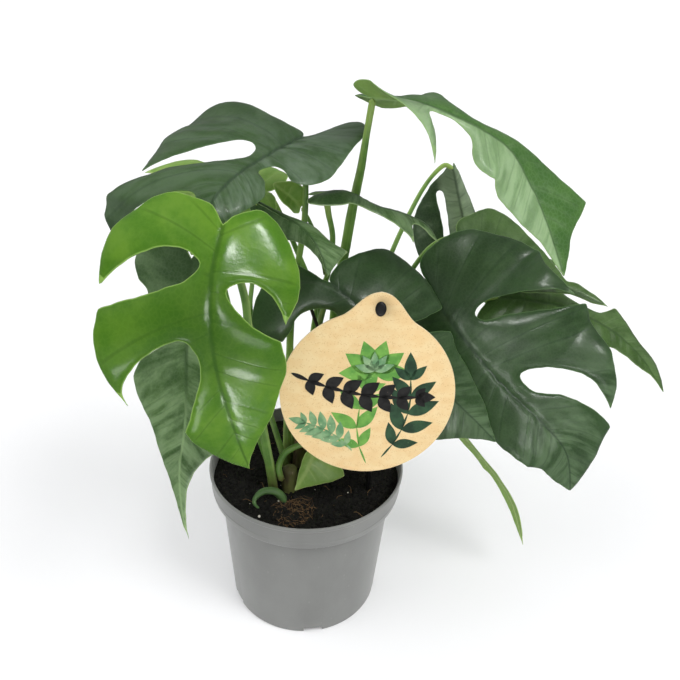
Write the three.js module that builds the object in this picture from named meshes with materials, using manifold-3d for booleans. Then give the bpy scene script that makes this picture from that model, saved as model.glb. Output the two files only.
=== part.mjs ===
// Young split-leaf climbing plant in a 12 cm nursery pot, with a round card tag.
// Millimetres, +Z up, origin in the middle of the pot's underside, -Y towards the viewer.
import * as THREE from 'three';
import { mergeVertices } from 'three/addons/utils/BufferGeometryUtils.js';
import Module from 'manifold-3d';

const wasm = await Module();
wasm.setup();

// Clearance kept between touching pieces
const GAP = 0.3;

// Pot
const POT_HEIGHT = 100;
const RIM_RADIUS = 60;
const LIP_HEIGHT = 16;
const LIP_FOOT_RADIUS = 58.8;
const NECK_RADIUS = 53.4;
const FOOT_RADIUS = 47.5;
const POT_WALL = 1.5;
const FOOT_RING_INNER_RADIUS = 41;
const FLOOR_UNDERSIDE = 3.6;
const FLOOR_TOP = 5.2;
const FOOT_PAD_RADIUS = 14;
const POT_SIDES = 48;
const DRAIN_HOLES = 5;
const DRAIN_HOLE_RADIUS = 4;
const DRAIN_CIRCLE_RADIUS = 28;
const DRAIN_NOTCH = { width: 12, height: 3.2, turn: 7.5 };

// Soil
const SOIL_EDGE_HEIGHT = 91.5;
const SOIL_MOUND = 2.6;
const SOIL_MOUND_SPREAD = 22;
const SOIL_RINGS = [50, 41, 32, 23, 13];

// Leaf blades
const BLADE_THICKNESS = 0.8;
const KEEL_DEPTH = 1;
const EDGE_STEP = 8.5;
const FACE_STEP = 12;
const WAVE_REACH = 40;
const MOST_FLIP_PASSES = 60;

// Stalks and stems
const STALK_SIDES = 7;
const STALK_STEP = 16;

// Card tag, leaning back on its stake
const TAG_RADIUS = 47;
const TAG_THICKNESS = 1.2;
const TAG_CENTRE = [31.8, -34, 174.1];
const TAG_LEAN = THREE.MathUtils.degToRad(9);
const TAG_EAR_CENTRE = [4.5, 48.5];
const TAG_EAR_TOP = 57.5;
const TAG_EAR_HALF_WIDTH = 9.5;
const TAG_SHOULDERS = [59, 111];
const TAG_HOLE = [4, 5.4];
const STAKE_RADIUS = 1.5;
const STAKE_FOOT = [38, -14, 45];
const SUPPORT_STICK = { top: [-2, 14, 208], foot: [44.3, 0.1, 75], radius: 1 };

const FINISHES = {
  potGrey: { color: 0x8f8f8c, roughness: 0.55 },
  soilBrown: { color: 0x241d19, roughness: 0.95 },
  darkLeaf: { color: 0x33552f, roughness: 0.42 },
  midLeaf: { color: 0x4c7a3c, roughness: 0.42 },
  brightLeaf: { color: 0x568c28, roughness: 0.3 },
  youngLeaf: { color: 0x8fb04a, roughness: 0.4 },
  stalkGreen: { color: 0x7a9a4e, roughness: 0.5 },
  stemBrown: { color: 0x4d4a2c, roughness: 0.6 },
  sheathPale: { color: 0x6f8f5c, roughness: 0.6 },
  kraftCard: { color: 0xe8c893, roughness: 0.85 },
  blackPlastic: { color: 0x141414, roughness: 0.5 },
};

// Every blade is drawn flat and then laid on a bent sheet. The rib is the midrib in space,
// from the stalk to the tip, and face holds the directions that the blade looks in, spread
// evenly along it. Each side lists its edge from the stalk to the tip as [across, along]
// in millimetres, a third value marking a corner. Tilt is the side's slope out of the
// face direction beside the rib, in degrees, and curl how much it turns per millimetre.
const LEAVES = {
  front_left: {
    finish: 'brightLeaf',
    rib: [[-38, -60, 279], [-42, -76, 261], [-42, -86, 241], [-39, -90, 217], [-32, -88, 184],
      [-27, -84, 162]],
    face: [[0.05, -0.75, 0.66], [0, -0.93, 0.36], [0.1, -0.98, 0.2]],
    wave: { height: 1.2, pitch: 46, phase: 0.6 },
    right: {
      tilt: [-10, -8, -8],
      curl: [-0.35, -0.3, -0.2],
      edge: [[4, -5], [14, -11], [21, -9], [29, -2], [37, 8], [40, 20], [39, 33], [33, 49, 1],
        [31, 39], [27, 31], [20, 25], [13, 25], [7, 30], [10, 37], [17, 46], [30, 58, 1],
        [31, 75], [25, 88], [18, 100], [6, 115], [1, 124]],
    },
    left: {
      tilt: [-6, -4, -8],
      curl: [-0.25, -0.2, -0.2],
      edge: [[-7, -8], [-14, -10], [-23, -12], [-31, -10], [-38, -5], [-47, 7], [-51, 18],
        [-51, 30, 1], [-38, 21], [-28, 16], [-19, 14], [-11, 15], [-6, 20], [-12, 27],
        [-20, 30], [-30, 33], [-42, 36], [-51, 38, 1], [-53, 50], [-52, 66], [-45, 81, 1],
        [-46, 73], [-41, 66], [-34, 60], [-26, 55], [-17, 52], [-11, 53], [-7, 61], [-9, 71],
        [-16, 85], [-23, 97, 1], [-20, 106], [-10, 119]],
    },
  },
  upper_left: {
    finish: 'darkLeaf',
    rib: [[-5, 28, 295], [-25, -2, 291], [-36, -22, 288], [-44, -38, 283], [-48, -46, 275],
      [-49, -46, 263]],
    face: [[-0.05, -0.3, 0.95], [-0.15, -0.45, 0.88], [-0.3, -0.6, 0.73]],
    wave: { height: 1, pitch: 50, phase: 2 },
    right: {
      tilt: [14, -6, -40],
      curl: [-0.6, -0.8, -1],
      edge: [[4, -6], [6, -16], [9, -27], [15, -33], [22, -28], [27, -16], [30, 0], [32, 14],
        [32, 26], [28, 37, 1], [21, 41], [14, 37], [8, 38], [5, 47], [12, 52], [17, 60, 1],
        [16, 69], [12, 82], [6, 94]],
    },
    left: {
      tilt: [22, 18, 15],
      curl: [-0.75, -0.8, -0.35],
      edge: [[-2, -3], [-11, -1], [-22, 0], [-36, -2], [-52, -2], [-64, 8], [-65, 24], [-57, 42],
        [-50, 56], [-44.5, 73, 1], [-41, 66], [-36, 60], [-30, 52.5], [-24, 43], [-18, 33],
        [-12, 29], [-7, 32], [-5.5, 39], [-9, 48], [-15, 56], [-22, 62.5], [-32, 69], [-38, 75],
        [-46, 81], [-51, 87], [-55, 95], [-56, 106], [-52, 115, 1], [-44, 104], [-36, 94],
        [-26, 85.5], [-18, 81], [-12, 79], [-8, 81], [-7, 88], [-4, 97]],
    },
  },
  top_right: {
    finish: 'midLeaf',
    rib: [[29, 13, 319], [54, 7, 318], [81, 5, 308], [99, 6, 297], [109, 4, 284],
      [119, -3, 267], [134, -12, 235]],
    face: [[0.02, -0.14, 0.99], [0.41, -0.61, 0.68]],
    wave: { height: 1, pitch: 55, phase: 4 },
    right: {
      tilt: [-14, 5, 22],
      curl: [-0.6, -0.4, -0.1],
      edge: [[6, -8], [18, -12], [32, -8], [40, 4], [44, 18], [42, 34, 1], [30, 36], [18, 40],
        [9, 50], [8, 63], [13, 83], [20, 100], [31, 120, 1], [15, 129], [8, 138]],
    },
    left: {
      tilt: [55, 5, -20, -8, -8, -8, -8],
      curl: [-0.5, -0.5, -1, -0.3, -0.25, -0.2, -0.2],
      edge: [[-4, -7], [-10, -9], [-15, -5], [-15, 4], [-13, 12], [-15, 20], [-20, 28], [-26, 34],
        [-33, 40, 1], [-24, 37], [-13, 32], [-5, 29], [-3, 34], [-3, 43], [-8, 54], [-17, 57],
        [-22, 64], [-22, 80], [-22, 94, 1], [-16, 111], [-7, 128]],
    },
  },
  right: {
    finish: 'darkLeaf',
    rib: [[75, 32, 198], [87, 22, 185], [108, 13, 162], [125, 5, 147], [143, -3, 133],
      [159, -8, 115], [168, -8, 84]],
    face: [[-0.15, -0.6, 0.78], [0, -0.8, 0.6], [0.3, -0.9, 0.3]],
    wave: { height: 1.2, pitch: 52, phase: 1 },
    right: {
      tilt: [4, 4, 0],
      curl: [-0.15],
      edge: [[2, -8], [4, -20], [11, -27], [31, -28], [47, -22], [61, -6], [71, 13], [74, 36],
        [72, 58, 1], [66, 45], [49, 32], [27, 20], [15, 21], [18, 29], [35, 38], [57, 54],
        [76, 71, 1], [70, 84], [64, 99], [54, 114], [39, 122, 1], [41, 114], [41, 102],
        [33, 87], [22, 74], [12, 70], [11, 84], [21, 97], [26, 108], [35, 128, 1], [27, 132],
        [20, 140], [9, 152]],
    },
    left: {
      tilt: [-40, -15, -5, -5],
      curl: [-0.3, -0.2],
      edge: [[-3, -8], [-11, -14], [-21, -15], [-30, -7], [-35, 7], [-35, 22], [-32, 36, 1],
        [-23, 33], [-12, 33], [-12, 44], [-17, 58], [-22, 74], [-28, 88], [-27, 101],
        [-25, 116, 1], [-18, 130], [-12, 142]],
    },
  },
  centre: {
    finish: 'darkLeaf',
    rib: [[11, 8, 220], [29, 0, 207], [51, -6, 187], [76, -10, 163], [98, -12, 142],
      [114, -12, 125]],
    face: [[0.15, -0.72, 0.68], [0.2, -0.85, 0.45]],
    wave: { height: 1, pitch: 48, phase: 3 },
    right: {
      tilt: [-5],
      curl: [-0.25],
      edge: [[2, -2], [15, -3], [31, 3], [42, 10], [44, 24], [44, 38], [43, 50], [39, 62, 1],
        [25, 56], [14, 50], [8, 53], [14, 59], [24, 66], [31, 74, 1], [25, 83], [22, 94],
        [17, 107], [11, 121], [6, 130]],
    },
    left: {
      tilt: [-5, -22, -34, -30, -15],
      curl: [-0.25],
      edge: [[-2, -5], [-4, -17], [-10, -26], [-28, -26], [-47, -16], [-43, 3, 1], [-35, 2],
        [-28, 0], [-20, 2], [-12, 10], [-13, 22], [-20, 30], [-28, 38], [-32, 50],
        [-32, 62, 1], [-25, 60], [-16, 60], [-11, 66], [-14, 78], [-22, 89], [-26, 100],
        [-30, 112, 1], [-21, 119], [-13, 125], [-4, 136]],
    },
  },
  lower_left: {
    finish: 'darkLeaf',
    rib: [[-61, -14, 242], [-62, -26, 224], [-62, -38, 203], [-62, -56, 171],
      [-65, -66, 147], [-64, -74, 126], [-61, -78, 109]],
    face: [[-0.3, -0.7, 0.6], [-0.3, -0.9, 0.3], [-0.2, -0.98, 0]],
    wave: { height: 1, pitch: 44, phase: 5 },
    right: {
      tilt: [-6],
      curl: [-0.25],
      edge: [[6, -8], [16, -12], [28, -8], [36, 4], [38, 20], [34, 34, 1], [24, 30], [13, 30],
        [14, 42], [26, 52], [32, 64], [30, 78], [22, 91, 1], [11, 104], [5, 116], [2, 130]],
    },
    left: {
      tilt: [-6],
      curl: [-0.25],
      edge: [[-8, -10], [-20, -14], [-32, -10], [-39, -1], [-34, 10], [-26, 18], [-24, 34, 1],
        [-14, 29], [-8, 32], [-14, 44], [-30, 52], [-35, 61, 1], [-32, 72], [-22, 88],
        [-6, 116], [-1, 142]],
    },
  },
  right_rear: {
    finish: 'midLeaf',
    rib: [[122, 60, 188], [160, 56, 184], [192, 50, 172], [215, 44, 155], [236, 38, 130]],
    face: [[0.1, -0.5, 0.85], [0.3, -0.65, 0.7]],
    wave: { height: 0.8, pitch: 40, phase: 1.5 },
    right: {
      tilt: [-8],
      curl: [-0.2],
      edge: [[4, -8], [18, -14], [34, -8], [44, 6], [46, 22], [42, 38, 1], [30, 34], [16, 36],
        [10, 46], [8, 58], [10, 67], [21, 76, 1], [16, 85], [10, 98], [10, 115], [6, 128]],
    },
    left: {
      tilt: [-8],
      curl: [-0.2],
      edge: [[-5, -8], [-18, -14], [-30, -8], [-36, 8], [-38, 24], [-34, 38, 1], [-22, 34],
        [-12, 38], [-12, 50], [-20, 60], [-22, 72, 1], [-11, 80], [-8, 93], [-6, 106],
        [-1, 122]],
    },
  },
  right_upper: {
    finish: 'midLeaf',
    rib: [[94, 68, 222], [121, 62, 213], [150, 54, 203], [173, 50, 194], [188, 46, 189]],
    face: [[0, -0.72, 0.69], [0.2, -0.75, 0.63]],
    wave: { height: 0.6, pitch: 38, phase: 0 },
    right: {
      tilt: [-8],
      curl: [-0.2],
      edge: [[5, -5], [13, -6], [22, 0], [32, 10], [33, 20], [30, 29], [25, 38, 1], [11, 63],
        [5, 71], [7, 78], [5, 88], [3, 96]],
    },
    left: {
      tilt: [-8],
      curl: [-0.2],
      edge: [[-5, -6], [-15, -7], [-23, 3], [-23, 19], [-17, 35, 1], [-14, 50], [-8, 64],
        [-3, 77], [-2, 91]],
    },
  },
  middle_arch: {
    finish: 'midLeaf',
    rib: [[7, 20, 268], [20, 24, 267], [36, 25, 259], [50, 25, 255], [63, 23, 250],
      [72, 20, 240]],
    face: [[0, -0.05, 1], [0.1, -0.1, 0.95]],
    wave: { height: 0.5, pitch: 36, phase: 2 },
    right: {
      tilt: [-25],
      curl: [-0.6],
      edge: [[4, -6], [11, -6], [12, 6], [10, 18], [13, 30], [17, 44], [16, 56, 1], [8, 52],
        [6, 60], [4, 68]],
    },
    left: {
      tilt: [-14],
      curl: [-0.3],
      edge: [[-4, -9], [-10, -12], [-12, 6], [-8, 20], [-7, 34], [-12, 47], [-18, 60, 1],
        [-5, 54], [-3, 67]],
    },
  },
  back_right: {
    finish: 'darkLeaf',
    rib: [[88, 88, 261], [93, 92, 245], [98, 94, 230], [104, 94, 210], [113, 90, 188],
      [123, 84, 165]],
    face: [[-0.3, -0.7, 0.6], [-0.5, -0.8, 0.2]],
    wave: { height: 0.6, pitch: 40, phase: 4 },
    right: {
      tilt: [-55, -50],
      curl: [-0.6],
      edge: [[2, -4], [6, 8], [10, 23], [13, 38], [15, 53, 1], [12, 70], [6, 88]],
    },
    left: {
      tilt: [-10, -8],
      curl: [-0.3],
      edge: [[-3, -3], [-9, 4], [-20, 15], [-33, 31], [-40, 44], [-41, 56], [-37, 69, 1],
        [-27, 62], [-17, 50], [-16, 33], [-15, 18], [-10, 18], [-11, 33], [-12, 48],
        [-13, 62], [-10, 79], [-5, 93]],
    },
  },
  small_centre: {
    finish: 'midLeaf',
    rib: [[-29, 14, 264], [-17, 8, 259], [-4, 0, 254], [5, -8, 244], [9, -12, 231]],
    face: [[0, -0.4, 0.9], [0, -0.6, 0.8]],
    right: {
      tilt: [-45, -25],
      curl: [-0.5],
      edge: [[3, -4], [6, 8], [9, 20], [13, 30], [13, 40], [18, 47], [21, 51, 1], [10, 54]],
    },
    left: {
      tilt: [-55, -50],
      curl: [-0.6],
      edge: [[-5, -4], [-12, 5], [-13, 17], [-10, 29], [-6, 41], [-3, 52]],
    },
  },
  low_right: {
    finish: 'youngLeaf',
    rib: [[97, 40, 104], [109, 36, 90], [130, 24, 68], [141, 14, 52], [151, 6, 23]],
    face: [[0.8, 0.4, 0.5], [0.9, 0.3, 0.2]],
    right: {
      tilt: [-5],
      curl: [-0.1],
      edge: [[4, -7], [14, -8], [21, 4], [22, 20], [17, 32], [20, 44, 1], [12, 50], [15, 66],
        [10, 83], [4, 97]],
    },
    left: {
      tilt: [-5],
      curl: [-0.1],
      edge: [[-4, -7], [-14, -7], [-21, 6], [-21, 22], [-16, 34], [-20, 46, 1], [-12, 55],
        [-14, 71], [-9, 88], [-3, 99]],
    },
  },
  back_left: {
    finish: 'youngLeaf',
    rib: [[-25, 38, 261], [-44, 44, 259], [-64, 46, 255], [-84, 44, 249], [-99, 38, 240]],
    face: [[-0.1, -0.4, 0.9], [-0.25, -0.5, 0.8]],
    wave: { height: 0.6, pitch: 40, phase: 1 },
    right: {
      tilt: [-5],
      curl: [-0.3],
      edge: [[5, -6], [17, -8], [26, 2], [28, 16], [24, 30, 1], [15, 38], [14, 52], [9, 66]],
    },
    left: {
      tilt: [-5],
      curl: [-0.3],
      edge: [[-5, -6], [-16, -7], [-24, 4], [-27, 19], [-27, 34], [-39, 46], [-44, 65, 1],
        [-30, 60], [-17, 57], [-9, 66]],
    },
  },
  young_by_soil: {
    finish: 'youngLeaf',
    rib: [[5, -14, 121], [1, -21, 112], [-7, -27, 99]],
    face: [[0.1, -0.8, 0.6], [0, -0.8, 0.6]],
    right: {
      tilt: [-5],
      curl: [-0.5],
      edge: [[9, -1], [17, 4], [23, 9, 1], [15, 15], [6, 22]],
    },
    left: {
      tilt: [-5],
      curl: [-0.5],
      edge: [[-4, 2], [-5, 10], [-3, 20]],
    },
  },
  young_curled: {
    finish: 'midLeaf',
    rib: [[-6, 37, 252], [-11, 34, 258], [-17, 30, 264], [-21, 26, 269]],
    face: [[-0.1, -0.8, 0.6]],
    right: {
      tilt: [35],
      curl: [1.6],
      edge: [[5, 1], [9, 8], [9, 17], [4, 23]],
    },
    left: {
      tilt: [35],
      curl: [1.6],
      edge: [[-5, 1], [-9, 8], [-9, 16], [-5, 22]],
    },
  },
};

// Stalks run from the soil to the blade of the same name, thinning on the way
const STALKS = {
  front_left: {
    route: [[-19.5, -20, 84], [-20, -20, 100], [-27, -28, 165], [-30, -40, 215],
      [-31, -46, 236], [-35, -56, 262], [-38, -59.5, 277]],
    radius: [3.2, 1.7],
  },
  upper_left: {
    route: [[-13, 4, 84], [-13, 4, 100], [-12, 10, 150], [-11, 17, 190], [-8, 20, 220],
      [-4, 23, 250], [-4, 30, 278], [-5, 29.3, 293]],
    radius: [3, 1.5],
  },
  top_right: {
    route: [[8, 10, 84], [8, 10, 100], [13.5, 31, 144], [15.5, 43, 188], [20.5, 47, 227],
      [23, 46, 248], [24.5, 41, 261], [26, 30, 278], [27, 20, 296], [28.9, 13.1, 318]],
    radius: [3.4, 3.4, 3.2, 1.4],
  },
  right: {
    route: [[14, -5, 84], [14, -5, 100], [24, -4, 125], [40, 4, 155], [54, 18, 182],
      [66, 30, 196], [74, 32, 198]],
    radius: [3, 1.6],
  },
  centre: {
    route: [[4, -4, 84], [4, -4, 100], [2, 3, 125], [1, 12, 155], [5, 16, 185], [9, 14, 206],
      [10.5, 8.5, 219]],
    radius: [3, 1.6],
  },
  lower_left: {
    route: [[-20, -10, 84], [-21, -10, 100], [-34, -11, 150], [-42, -8, 200], [-50, -3, 236],
      [-57, -5, 247], [-61, -12.5, 243]],
    radius: [2.8, 1.4],
  },
  right_rear: {
    route: [[39, 18, 84], [39, 18, 100], [50, 26, 130], [70, 42, 160], [95, 56, 180],
      [121, 60, 188]],
    radius: [3, 1.5],
  },
  right_upper: {
    route: [[33, 21, 84], [33, 21, 100], [38, 34, 140], [50, 52, 180], [70, 66, 212],
      [84, 70, 222], [93, 68, 222]],
    radius: [2.8, 1.3],
  },
  middle_arch: {
    route: [[-2, 13, 84], [-2, 13, 100], [0, 28, 150], [4, 33, 190], [10, 31, 215],
      [12, 28, 237], [9, 24, 254], [7.2, 20.8, 265.5]],
    radius: [2.6, 1.5],
    branch: { route: [[9, 31.5, 212], [5, 35, 229], [-1, 38, 243], [-5.9, 37.1, 251.8]],
      radius: [1.3, 1] },
  },
  back_right: {
    route: [[26, 18, 84], [26, 18, 100], [32, 40, 150], [46, 64, 200], [66, 82, 244],
      [80, 89, 262], [87.5, 88.2, 261.5]],
    radius: [2.8, 1.2],
  },
  small_centre: {
    route: [[-12, -7, 84], [-12.5, -7, 100], [-24, -4, 145], [-30, -2, 174], [-33, 2, 204],
      [-32, 6, 219], [-30, 12, 239], [-29, 16, 254], [-29, 14.5, 263]],
    radius: [2.2, 1.1],
  },
  low_right: {
    route: [[41, 8, 84], [41, 8, 100], [48, 14, 124], [64, 28, 136], [82, 38, 126],
      [96, 40, 105.5]],
    radius: [2.4, 1.2],
  },
  back_left: {
    route: [[-10, 10, 84], [-10, 10, 100], [-2, 18, 135], [4, 24, 170], [6, 27, 193],
      [-3, 30, 216], [-17, 35, 247], [-24.5, 38, 260]],
    radius: [2.6, 1.2],
  },
  young_by_soil: {
    route: [[-14.5, -23, 103], [-16.5, -22, 113], [-13, -19, 121], [-5, -16, 124.5],
      [2, -14, 124.5], [4.8, -14, 121.6]],
    radius: [1.8, 1.6],
  },
};

// Main stems, each with a blunt top, and the dry sheath curled on the soil
const STEMS = {
  stem_front: { route: [[-9, -17, 80], [-9.5, -17, 98], [-10, -18, 110]], radius: [5.5, 5.5, 4] },
  stem_middle: { route: [[-4, 4, 80], [-4, 4, 100], [-4.5, 4, 116]], radius: [5, 5, 3.4] },
  stem_right: { route: [[15, 4, 80], [15, 4, 100], [15.5, 4, 114]], radius: [5, 5, 3.4] },
  stem_rear: { route: [[33, 11, 80], [33, 11, 100], [33, 11.5, 115]], radius: [5, 5, 3.4] },
};
const CURLED_SHEATH = {
  route: [[-13, -28, 88], [-14, -28.5, 95], [-18, -29, 100], [-25, -30, 101], [-30, -33, 98],
    [-29.5, -36, 96], [-27, -38, 95.4]],
  radius: [2.4, 2.2, 1.8, 0.6],
};

// Solids: closed geometry made into joined and cut bodies, and back

function toSolid(geometry) {
  const bare = geometry.clone();
  bare.deleteAttribute('normal');
  bare.deleteAttribute('uv');
  const merged = mergeVertices(bare, 1e-4);
  const vertProperties = Float32Array.from(merged.attributes.position.array);
  const triVerts = Uint32Array.from(merged.index.array);
  if (signedVolume(vertProperties, triVerts) < 0) {
    for (let i = 0; i < triVerts.length; i += 3) {
      [triVerts[i], triVerts[i + 1]] = [triVerts[i + 1], triVerts[i]];
    }
  }
  return new wasm.Manifold(new wasm.Mesh({ numProp: 3, vertProperties, triVerts }));
}

function signedVolume(vertices, triangles) {
  const [a, b, c] = [new THREE.Vector3(), new THREE.Vector3(), new THREE.Vector3()];
  let volume = 0;
  for (let i = 0; i < triangles.length; i += 3) {
    a.fromArray(vertices, 3 * triangles[i]);
    b.fromArray(vertices, 3 * triangles[i + 1]);
    c.fromArray(vertices, 3 * triangles[i + 2]);
    volume += a.dot(b.cross(c)) / 6;
  }
  return volume;
}

function toGeometry(solid) {
  const mesh = solid.getMesh();
  const geometry = new THREE.BufferGeometry();
  geometry.setAttribute('position', new THREE.BufferAttribute(mesh.vertProperties, 3));
  geometry.setIndex(new THREE.BufferAttribute(mesh.triVerts, 1));
  geometry.computeVertexNormals();
  return geometry;
}

function largestBody(solid) {
  const bodies = solid.decompose();
  return bodies.reduce((best, body) => (body.volume() > best.volume() ? body : best));
}

function boxesMeet(one, other) {
  const a = one.boundingBox();
  const b = other.boundingBox();
  return [0, 1, 2].every((axis) => a.min[axis] <= b.max[axis] && b.min[axis] <= a.max[axis]);
}

// Value of a short list at a place from 0 to 1 along it
function along(list, place) {
  const scaled = place * (list.length - 1);
  const index = Math.min(Math.floor(scaled), Math.max(list.length - 2, 0));
  const next = Math.min(index + 1, list.length - 1);
  return THREE.MathUtils.lerp(list[index], list[next], scaled - index);
}

function curveThrough(route) {
  const points = route.map((point) => new THREE.Vector3(...point));
  return new THREE.CatmullRomCurve3(points, false, 'catmullrom', 0.5);
}

// Round stalk along a route, its radius following a short list, closed at both ends
function stalkSolid({ route, radius }, grow = 0) {
  const curve = curveThrough(route);
  const rings = Math.max(3, Math.round(curve.getLength() / STALK_STEP));
  const frames = curve.computeFrenetFrames(rings, false);
  const positions = [];
  const indices = [];
  for (let ring = 0; ring <= rings; ring += 1) {
    const place = ring / rings;
    const centre = curve.getPointAt(place);
    if (ring === 0) centre.addScaledVector(frames.tangents[0], -grow);
    if (ring === rings) centre.addScaledVector(frames.tangents[rings], grow);
    const size = (along(radius, place) + grow) / Math.cos(Math.PI / STALK_SIDES);
    for (let side = 0; side < STALK_SIDES; side += 1) {
      const turn = 2 * Math.PI * side / STALK_SIDES;
      const point = centre.clone()
        .addScaledVector(frames.normals[ring], size * Math.cos(turn))
        .addScaledVector(frames.binormals[ring], size * Math.sin(turn));
      positions.push(point.x, point.y, point.z);
      if (ring < rings) {
        const a = ring * STALK_SIDES + side;
        const b = ring * STALK_SIDES + (side + 1) % STALK_SIDES;
        indices.push(a, b, b + STALK_SIDES, a, b + STALK_SIDES, a + STALK_SIDES);
      }
    }
  }
  const last = rings * STALK_SIDES;
  for (let side = 1; side < STALK_SIDES - 1; side += 1) {
    indices.push(0, side + 1, side, last, last + side, last + side + 1);
  }
  const geometry = new THREE.BufferGeometry();
  geometry.setAttribute('position', new THREE.Float32BufferAttribute(positions, 3));
  geometry.setIndex(indices);
  return toSolid(geometry);
}

// The bent sheet that a flat blade is laid on
class LeafSheet {
  constructor({ rib, face, left, right, wave }) {
    this.curve = curveThrough(rib);
    this.length = this.curve.getLength();
    this.face = face;
    this.sides = { left, right };
    this.wave = wave ?? { height: 0, pitch: 40, phase: 0 };
  }

  point(across, alongRib) {
    const place = THREE.MathUtils.clamp(alongRib / this.length, 0, 1);
    const tangent = this.curve.getTangentAt(place);
    const rib = this.curve.getPointAt(place);
    rib.addScaledVector(tangent, alongRib - place * this.length);
    const facing = new THREE.Vector3(...[0, 1, 2].map(
      (axis) => along(this.face.map((vector) => vector[axis]), place)));
    facing.addScaledVector(tangent, -facing.dot(tangent)).normalize();
    const sideways = facing.clone().cross(tangent);
    const side = across < 0 ? this.sides.left : this.sides.right;
    const distance = Math.abs(across);
    const tilt = THREE.MathUtils.degToRad(along(side.tilt, place));
    const curl = THREE.MathUtils.degToRad(along(side.curl, place));
    const out = (Math.sin(tilt + curl * distance) - Math.sin(tilt)) / curl;
    const lift = (Math.cos(tilt) - Math.cos(tilt + curl * distance)) / curl;
    const ripple = this.wave.height * (distance / WAVE_REACH) ** 2
      * Math.sin(2 * Math.PI * alongRib / this.wave.pitch + this.wave.phase);
    return rib.addScaledVector(sideways, Math.sign(across) * out)
      .addScaledVector(facing, lift + ripple);
  }

  normal(across, alongRib) {
    const step = 0.5;
    const offset = across < 0 ? -step : step;
    const here = this.point(across, alongRib);
    const outward = this.point(across + offset, alongRib).sub(here).multiplyScalar(offset);
    const onward = this.point(across, alongRib + step).sub(here);
    return onward.cross(outward).normalize();
  }
}

// One side's edge, smoothed between its corners and split into short steps
function smoothEdge(edge, length) {
  const knots = [[0, 0, 1], ...edge, [0, length, 1]];
  const points = [];
  let run = [];
  for (const [across, alongRib, corner] of knots) {
    run.push(new THREE.Vector2(across, alongRib));
    if (corner && run.length > 1) {
      const curve = new THREE.SplineCurve(run);
      run.slice(1).forEach((knot, index) => {
        const steps = Math.max(1, Math.round(knot.distanceTo(run[index]) / EDGE_STEP));
        for (let step = 0; step < steps; step += 1) {
          points.push(curve.getPoint((index + step / steps) / (run.length - 1)));
        }
      });
      run = [run.at(-1)];
    }
  }
  return points;
}

function distanceToOutline(point, outline) {
  const closest = new THREE.Vector3();
  const line = new THREE.Line3();
  const target = new THREE.Vector3(point.x, point.y, 0);
  return Math.min(...outline.map((corner, index) => {
    const next = outline[(index + 1) % outline.length];
    line.start.set(corner.x, corner.y, 0);
    line.end.set(next.x, next.y, 0);
    return line.closestPointToPoint(target, true, closest).distanceTo(target);
  }));
}

function isInside(point, outline) {
  let inside = false;
  outline.forEach((a, index) => {
    const b = outline[(index + 1) % outline.length];
    const crosses = (a.y > point.y) !== (b.y > point.y);
    if (crosses && point.x < a.x + (b.x - a.x) * (point.y - a.y) / (b.y - a.y)) {
      inside = !inside;
    }
  });
  return inside;
}

// Points within the outline: a row on the midrib and a staggered grid on both sides
function innerPoints(outline, length) {
  const points = [];
  const ribSteps = Math.round(length / EDGE_STEP);
  for (let step = 1; step < ribSteps; step += 1) {
    points.push(new THREE.Vector2(0, length * step / ribSteps));
  }
  const rowHeight = FACE_STEP * Math.sqrt(3) / 2;
  for (let row = -4; row * rowHeight < length; row += 1) {
    const shift = (row & 1) ? 0.55 : 1.05;
    for (let column = 0; column < 7; column += 1) {
      const across = (column + shift) * FACE_STEP;
      points.push(new THREE.Vector2(across, row * rowHeight));
      points.push(new THREE.Vector2(-across, row * rowHeight));
    }
  }
  return points.filter((point) => isInside(point, outline)
    && distanceToOutline(point, outline) > (point.x === 0 ? 0.22 : 0.4) * FACE_STEP);
}

// Swaps the diagonals of neighbouring triangles until none is needlessly thin
function flipDiagonals(points, triangles) {
  for (let pass = 0; pass < MOST_FLIP_PASSES; pass += 1) {
    const edges = new Map();
    triangles.forEach((triangle, index) => {
      triangle.forEach((corner, side) => {
        const next = triangle[(side + 1) % 3];
        const key = corner < next ? `${corner}_${next}` : `${next}_${corner}`;
        edges.set(key, [...(edges.get(key) ?? []), [index, side]]);
      });
    });
    const changed = new Set();
    for (const owners of edges.values()) {
      if (owners.length === 2 && !changed.has(owners[0][0]) && !changed.has(owners[1][0])) {
        const [[first, side], [second, otherSide]] = owners;
        const a = triangles[first][side];
        const b = triangles[first][(side + 1) % 3];
        const c = triangles[first][(side + 2) % 3];
        const d = triangles[second][(otherSide + 2) % 3];
        if (insideCircle(points[a], points[b], points[c], points[d])) {
          triangles[first] = [c, a, d];
          triangles[second] = [d, b, c];
          changed.add(first);
          changed.add(second);
        }
      }
    }
    if (changed.size === 0) return;
  }
}

function insideCircle(a, b, c, d) {
  const rows = [a, b, c].map((point) => {
    const x = point.x - d.x;
    const y = point.y - d.y;
    return [x, y, x * x + y * y];
  });
  const [p, q, r] = rows.map((row) => new THREE.Vector3(...row));
  const tolerance = 1e-6;
  return p.dot(q.cross(r)) > tolerance;
}

function isLeftOf(point, from, to) {
  const turn = (to.x - from.x) * (point.y - from.y) - (to.y - from.y) * (point.x - from.x);
  return turn > -1e-9;
}

// Triangles between the outline's corners and the inner points
function triangulate(outline, inner) {
  const points = [...outline, ...inner];
  const triangles = THREE.ShapeUtils.triangulateShape([...outline], []);
  inner.forEach((point, index) => {
    const home = triangles.findIndex(([a, b, c]) => isLeftOf(point, points[a], points[b])
      && isLeftOf(point, points[b], points[c]) && isLeftOf(point, points[c], points[a]));
    const [a, b, c] = triangles[home];
    const corner = outline.length + index;
    triangles.splice(home, 1, [a, b, corner], [b, c, corner], [c, a, corner]);
    flipDiagonals(points, triangles);
  });
  return triangles;
}

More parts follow.
